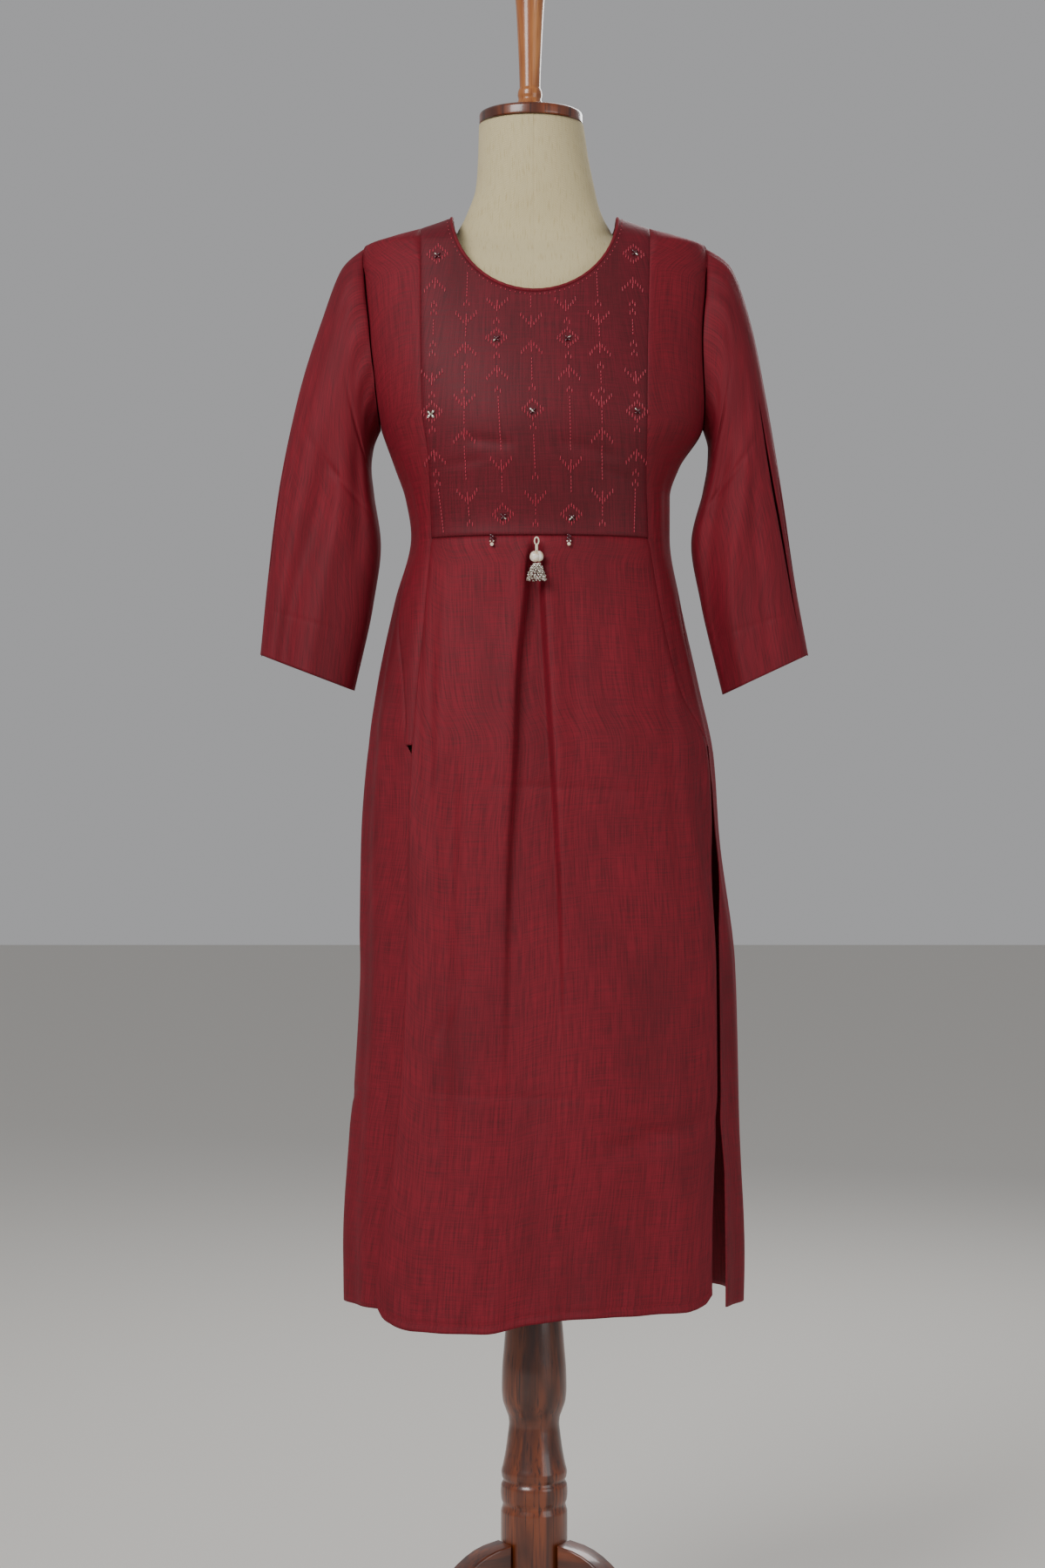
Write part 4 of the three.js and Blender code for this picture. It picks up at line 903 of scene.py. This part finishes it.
def on_front(x, z, stand):
    """A place on the tunic's front, its outward direction and the direction up the cloth."""
    spots = [body_point(turn_of_x(np.float64(x + a), np.float64(z + b)), np.float64(z + b))
             for a, b in ((0, 0), (1, 0), (0, 1))]
    spot, aside, above = (Vector(s) for s in spots)
    up = (above - spot).normalized()
    facing = (aside - spot).cross(up).normalized()
    return spot + facing * stand, facing, up


def add_grain(shape, spot, facing, up, size, detail=(6, 4)):
    """One small rounded bead or stitch; size is its half width, depth and length in mm."""
    side = up.cross(facing).normalized()
    columns = (side * size[0], facing * size[1], up * size[2])
    matrix = Matrix([[c[k] for c in columns] + [spot[k]] for k in range(3)] + [[0, 0, 0, 1]])
    bmesh.ops.create_uvsphere(shape, u_segments=detail[0], v_segments=detail[1], radius=1,
                              matrix=matrix)


def grains_object(name, shape, material):
    mesh = bpy.data.meshes.new(name)
    shape.to_mesh(mesh)
    shape.free()
    mesh.transform(Matrix.Translation(axis) @ Matrix.Scale(0.001, 4))
    mesh.shade_smooth()
    return add_object(name, mesh, material)


floss, shader = new_material("Crimson silk floss", "#B81634", 0.42)
shader.inputs["Sheen Weight"].default_value = 0.3
place = add_node(floss, "ShaderNodeTexCoord").outputs["Object"]
strands = add_node(floss, "ShaderNodeTexNoise", {"Scale": 1500.0, "Detail": 2.0}, {"Vector": place})
shade = blend_colours(floss, "#8E0E28", "#C81C3E", spread(floss, strands.outputs[0], 0.35, 0.65))
floss.node_tree.links.new(shade, shader.inputs["Base Color"])

charts = {
    "ring": ("....|....", "...|.|...", "..|...|..", ".|.....|.", "|.......|", ".|.....|.",
             "..|...|..", "...|.|...", "....|...."),
    "up": ("....|....", "...|||...", "..|.|.|..", ".|..|..|.", "|.......|"),
    "down": ("|.......|", ".|..|..|.", "..|.|.|..", "...|||...", "....|...."),
    "knot": (".|.", "|.|")}
runs = {
    "outer": [("ring", 1480), ("up", 1447), ("knot", 1427), ("knot", 1418), (1409, 1392),
              ("knot", 1385), ("knot", 1375), ("down", 1351), ("knot", 1333), ("ring", 1316),
              ("knot", 1299), ("up", 1272), ("knot", 1257), ("knot", 1247), (1240, 1198)],
    "second": [(1458, 1432), ("knot", 1426), ("down", 1410), (1399, 1389), ("up", 1378),
               ("knot", 1361), (1354, 1342), ("knot", 1336), ("down", 1325), (1314, 1302),
               ("up", 1291), (1280, 1246), ("down", 1232), (1221, 1213), ("knot", 1206)],
    "third": [("down", 1424), ("knot", 1407), ("ring", 1389), ("knot", 1371), ("up", 1353),
              ("knot", 1336), (1328, 1274), ("down", 1262), (1250, 1233), ("ring", 1214)],
    "middle": [(1432, 1420), ("down", 1407), ("up", 1379), (1367, 1345), ("knot", 1338),
               ("ring", 1316), ("knot", 1299), (1290, 1258), ("knot", 1251), ("down", 1229),
               (1218, 1212), ("knot", 1205)]}
lines = (
    ("outer", [[1195, -91], [1316, -102.5], [1447, -100], [1490, -97]]),
    ("second", [[1195, -64], [1292, -70], [1378, -69], [1470, -67]]),
    ("third", [[1195, -31], [1262, -33], [1389, -38], [1440, -37]]),
    ("middle", [[1195, 1], [1229, 1], [1316, -2], [1440, -4]]),
    ("third", [[1195, 37], [1262, 36], [1389, 33], [1440, 30]]),
    ("second", [[1195, 68], [1292, 67], [1378, 65], [1470, 62]]),
    ("outer", [[1195, 100], [1316, 102], [1410, 98], [1481, 100]]))
random.seed(11)
shape = bmesh.new()


def add_stitch(x, z, half_length, lean=0.0):
    spot, facing, up = on_front(x, z, 0.35)
    up = (up + up.cross(facing) * lean).normalized()
    add_grain(shape, spot, facing, up, (0.52, 0.42, half_length))


for run, path in lines:
    line = smooth_table(path)
    for motif, at in runs[run]:
        if isinstance(motif, str):
            rows = charts[motif]
            for k, row in enumerate(rows):
                z = at + ((len(rows) - 1) / 2 - k) * (2.3 if motif == "ring" else 2.9)
                for m, mark in enumerate(row):
                    if mark == "|":
                        x = read(line, 0, z) + (m - (len(row) - 1) / 2) * 2.55
                        lean = 0.03 * (m - (len(row) - 1) / 2) * (1 if motif == "up" else -1)
                        add_stitch(x + random.uniform(-0.25, 0.25), z + random.uniform(-0.4, 0.4),
                                   random.uniform(2.2, 2.8), lean)
        else:
            for z in np.arange(motif, at, -3.4):
                add_stitch(read(line, 0, z), z, 1.5)
for k in range(1, 56):
    neck = math.pi * k / 56
    x = neck_middle - (neck_half + 3.5) * math.cos(neck)
    add_stitch(x, neck_side - (front_drop + 4) * math.sin(neck), 0.9)

embroidery = grains_object("embroidery", shape, floss)
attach(embroidery, "root")

# ---------------------------------------------------------------- bead crosses
# Nine crosses of small glass beads sewn in the middle of the rings. One is all silver; the
# others are dark garnet beads with a silver one or two.
garnet, shader = new_material("Dark garnet glass beads", "#3A0A14", 0.12)
shader.inputs["Coat Weight"].default_value = 0.6
place = add_node(garnet, "ShaderNodeTexCoord").outputs["Object"]
speck = add_node(garnet, "ShaderNodeTexNoise", {"Scale": 900.0}, {"Vector": place}).outputs[0]
tone = blend_colours(garnet, "#22060C", "#641626", spread(garnet, speck, 0.35, 0.65))
garnet.node_tree.links.new(tone, shader.inputs["Base Color"])

silver, shader = new_material("Silver-lined glass beads", "#CFC8B8", 0.2)
shader.inputs["Metallic"].default_value = 0.75
place = add_node(silver, "ShaderNodeTexCoord").outputs["Object"]
speck = add_node(silver, "ShaderNodeTexNoise", {"Scale": 700.0, "Detail": 2.0},
                 {"Vector": place}).outputs[0]
tone = blend_colours(silver, "#7C6E56", "#F2EEE4", spread(silver, speck, 0.36, 0.58))
silver.node_tree.links.new(tone, shader.inputs["Base Color"])

crosses = ((-98, 1478), (-103, 1314), (-38, 1388), (-31, 1212), (-2, 1314), (33, 1388),
           (37, 1211), (101, 1481), (102, 1316))
dark_shape, silver_shape = bmesh.new(), bmesh.new()
for k, (x, z) in enumerate(crosses):
    bright = k == 1
    reach = 4.2 if bright else 3.3
    for n, (dx, dz) in enumerate(((-1, 1), (1, 1), (-1, -1), (1, -1))):
        spot, facing, up = on_front(x + dx * reach * 0.5, z + dz * reach * 0.48, 1.4)
        slanted = (up + up.cross(facing) * dx * dz).normalized()
        target = silver_shape if bright or (n == k % 4) else dark_shape
        size = (1.35, 1.2, 2.3) if bright else (0.95, 0.95, 1.75)
        add_grain(target, spot, facing, slanted, size, (12, 8))
    spot, facing, up = on_front(x, z, 2.2)
    target = silver_shape if k in (1, 4, 6) else dark_shape
    add_grain(target, spot, facing, up, (1.2, 1.2, 1.2), (12, 8))
dark_crosses = grains_object("garnet-cross-beads", dark_shape, garnet)
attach(dark_crosses, "root")
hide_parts(*[f"bead_cross_{k}" for k in (1, 3, 4, 5, 6, 7, 8, 9)])
silver_crosses = grains_object("silver-cross-beads", silver_shape, silver)
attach(silver_crosses, "root")
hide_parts("bead_cross_2")

# ---------------------------------------------------------------- bead drops
# Two short drops on thread, caught in the bust seam: garnet beads, two tiny silver ones and
# a small pearl at the end. The two tiny beads are made here in the pearl's cream glass.
pearl, shader = new_material("Cream glass pearl", "#E9DFC8", 0.22)
shader.inputs["Coat Weight"].default_value = 0.5
shader.inputs["Sheen Weight"].default_value = 0.2
place = add_node(pearl, "ShaderNodeTexCoord").outputs["Object"]
cloud = add_node(pearl, "ShaderNodeTexNoise", {"Scale": 260.0, "Detail": 2.0},
                 {"Vector": place}).outputs[0]
tone = blend_colours(pearl, "#D9B98C", "#F4EEDF", spread(pearl, cloud, 0.3, 0.6))
pearl.node_tree.links.new(tone, shader.inputs["Base Color"])

upward, toward = Vector((0, 0, 1)), Vector((0, -1, 0))
for side, x in (("left", -42), ("right", 34)):
    shape, small = bmesh.new(), bmesh.new()
    start, _, _ = on_front(x, 1187.5, 3.3)
    for dx, dz, r in ((-0.9, 5, 1.5), (1.0, 3.6, 1.5), (-1.0, 1.8, 1.6), (0.8, 0.2, 1.5)):
        add_grain(shape, start + Vector((dx, 0, dz)), toward, upward, (r, r, r), (12, 8))
    for dx, dz in ((-1.6, -1.2), (1.5, -1.0)):
        add_grain(small, start + Vector((dx, -0.4, dz)), toward, upward, (0.8, 0.8, 0.8), (10, 6))
    add_grain(small, start + Vector((0, -0.2, -4.2)), toward, upward, (1.9, 1.9, 1.9), (20, 12))
    drop = grains_object(f"{side}-drop-beads", shape, garnet)
    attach(drop, "root")
    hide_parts(f"bead_drop_{side}")
    end = grains_object(f"{side}-drop-pearl", small, pearl)
    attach(end, "root")

# ---------------------------------------------------------------- tassel
# A looped and twisted cotton cord caught in the bust seam, a pair of cream pearls side by
# side and a bell of short strands of silver-lined glass beads.
cotton, shader = new_material("Off-white twisted cotton cord", "#E6DCC6", 0.8)
place = add_node(cotton, "ShaderNodeTexCoord").outputs["Object"]
fuzz = add_node(cotton, "ShaderNodeTexNoise", {"Scale": 1400.0}, {"Vector": place}).outputs[0]
tone = blend_colours(cotton, "#BFB194", "#F0E8D6", spread(cotton, fuzz, 0.35, 0.6))
cotton.node_tree.links.new(tone, shader.inputs["Base Color"])

low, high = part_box("tassel_bead_bell")
hang_y = ((low.y + high.y) / 2 - axis.y) * 1000
shape = bmesh.new()
for k in range(28):
    turn = 2 * math.pi * k / 28
    spot = Vector((2 + 2.1 * math.sin(turn), hang_y, 1186.6 + 3.6 * math.cos(turn)))
    along = Vector((math.cos(turn), 0, -math.sin(turn))).normalized()
    add_grain(shape, spot, toward, along, (0.75, 0.75, 1.0), (8, 6))
for k in range(22):
    for side in (0, math.pi):
        turn = k * 0.62 + side
        spot = Vector((2 + 0.75 * math.cos(turn), hang_y + 0.75 * math.sin(turn), 1183.2 - k * 0.29))
        add_grain(shape, spot, toward, upward, (0.8, 0.8, 0.8), (8, 6))
cord = grains_object("tassel-cord", shape, cotton)
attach(cord, "root")
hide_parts("tassel_cord")

shape = bmesh.new()
add_grain(shape, Vector((0.3, hang_y - 0.9, 1171)), toward, upward, (5.2, 5.2, 5.6), (36, 24))
add_grain(shape, Vector((4.0, hang_y + 0.9, 1171.3)), toward, upward, (4.9, 4.9, 5.5), (36, 24))
pearls = grains_object("tassel-pearls", shape, pearl)
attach(pearls, "root")
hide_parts("tassel_pearl")

shape = bmesh.new()
for strand in range(17):
    for k in range(8):
        share = k / 7
        turn = 2 * math.pi * (strand + 0.35 * (k % 2)) / 17 + random.uniform(-0.08, 0.08)
        radius = 3.0 + 6.2 * share**0.6 + random.uniform(-0.5, 0.4)
        z = 1163.5 - 15.4 * share + random.uniform(-0.5, 0.5)
        spot = Vector((2 + radius * math.cos(turn), hang_y + radius * math.sin(turn), z))
        r = random.uniform(1.05, 1.35)
        add_grain(shape, spot, toward, upward, (r, r, r * 0.9), (10, 7))
for k in range(14):
    turn, radius = k * 2.4, 1.7 * math.sqrt(k)
    spot = Vector((2 + radius * math.cos(turn), hang_y + radius * math.sin(turn), 1149.5))
    add_grain(shape, spot, toward, upward, (1.2, 1.2, 1.1), (10, 7))
bell_beads = grains_object("tassel-bead-bell", shape, silver)
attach(bell_beads, "root")
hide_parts("tassel_bead_bell")

# ---------------------------------------------------------------- floor, light and camera
# A plain pale studio floor, a large soft key light from the upper left, a weaker fill and
# a light from behind; the camera stands level with the waist.
plaster, shader = new_material("Pale matt floor", "#D9D6D0", 0.9)
shape = bmesh.new()
bmesh.ops.create_grid(shape, x_segments=1, y_segments=1, size=14)
mesh = bpy.data.meshes.new("floor")
shape.to_mesh(mesh)
shape.free()
floor = add_object("floor", mesh, plaster)
floor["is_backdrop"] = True

world = bpy.data.worlds.new("soft studio")
world.use_nodes = True
world.node_tree.nodes["Background"].inputs["Color"].default_value = linear("#D8D8DA")
world.node_tree.nodes["Background"].inputs["Strength"].default_value = 0.55
bpy.context.scene.world = world
for name, spot, size, power in (
        ("key light", (-1.7, -2.7, 2.7), 1.5, 95), ("fill light", (2.4, -2.4, 1.3), 1.8, 22),
        ("back light", (0.9, 2.2, 2.6), 1.4, 40)):
    lamp = bpy.data.lights.new(name, "AREA")
    lamp.size = size
    lamp.energy = power
    light = bpy.data.objects.new(name, lamp)
    bpy.context.scene.collection.objects.link(light)
    light.location = spot
    light.rotation_euler = (Vector((0, 0, 1.0)) - Vector(spot)).to_track_quat("-Z", "Y").to_euler()

camera = bpy.data.objects.new("camera", bpy.data.cameras.new("camera"))
bpy.context.scene.collection.objects.link(camera)
camera.location = (-0.0118, -3.067, 0.945)
camera.rotation_euler = (math.radians(90), 0, 0)
camera.data.lens = 66.7
bpy.context.scene.camera = camera

low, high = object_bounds()
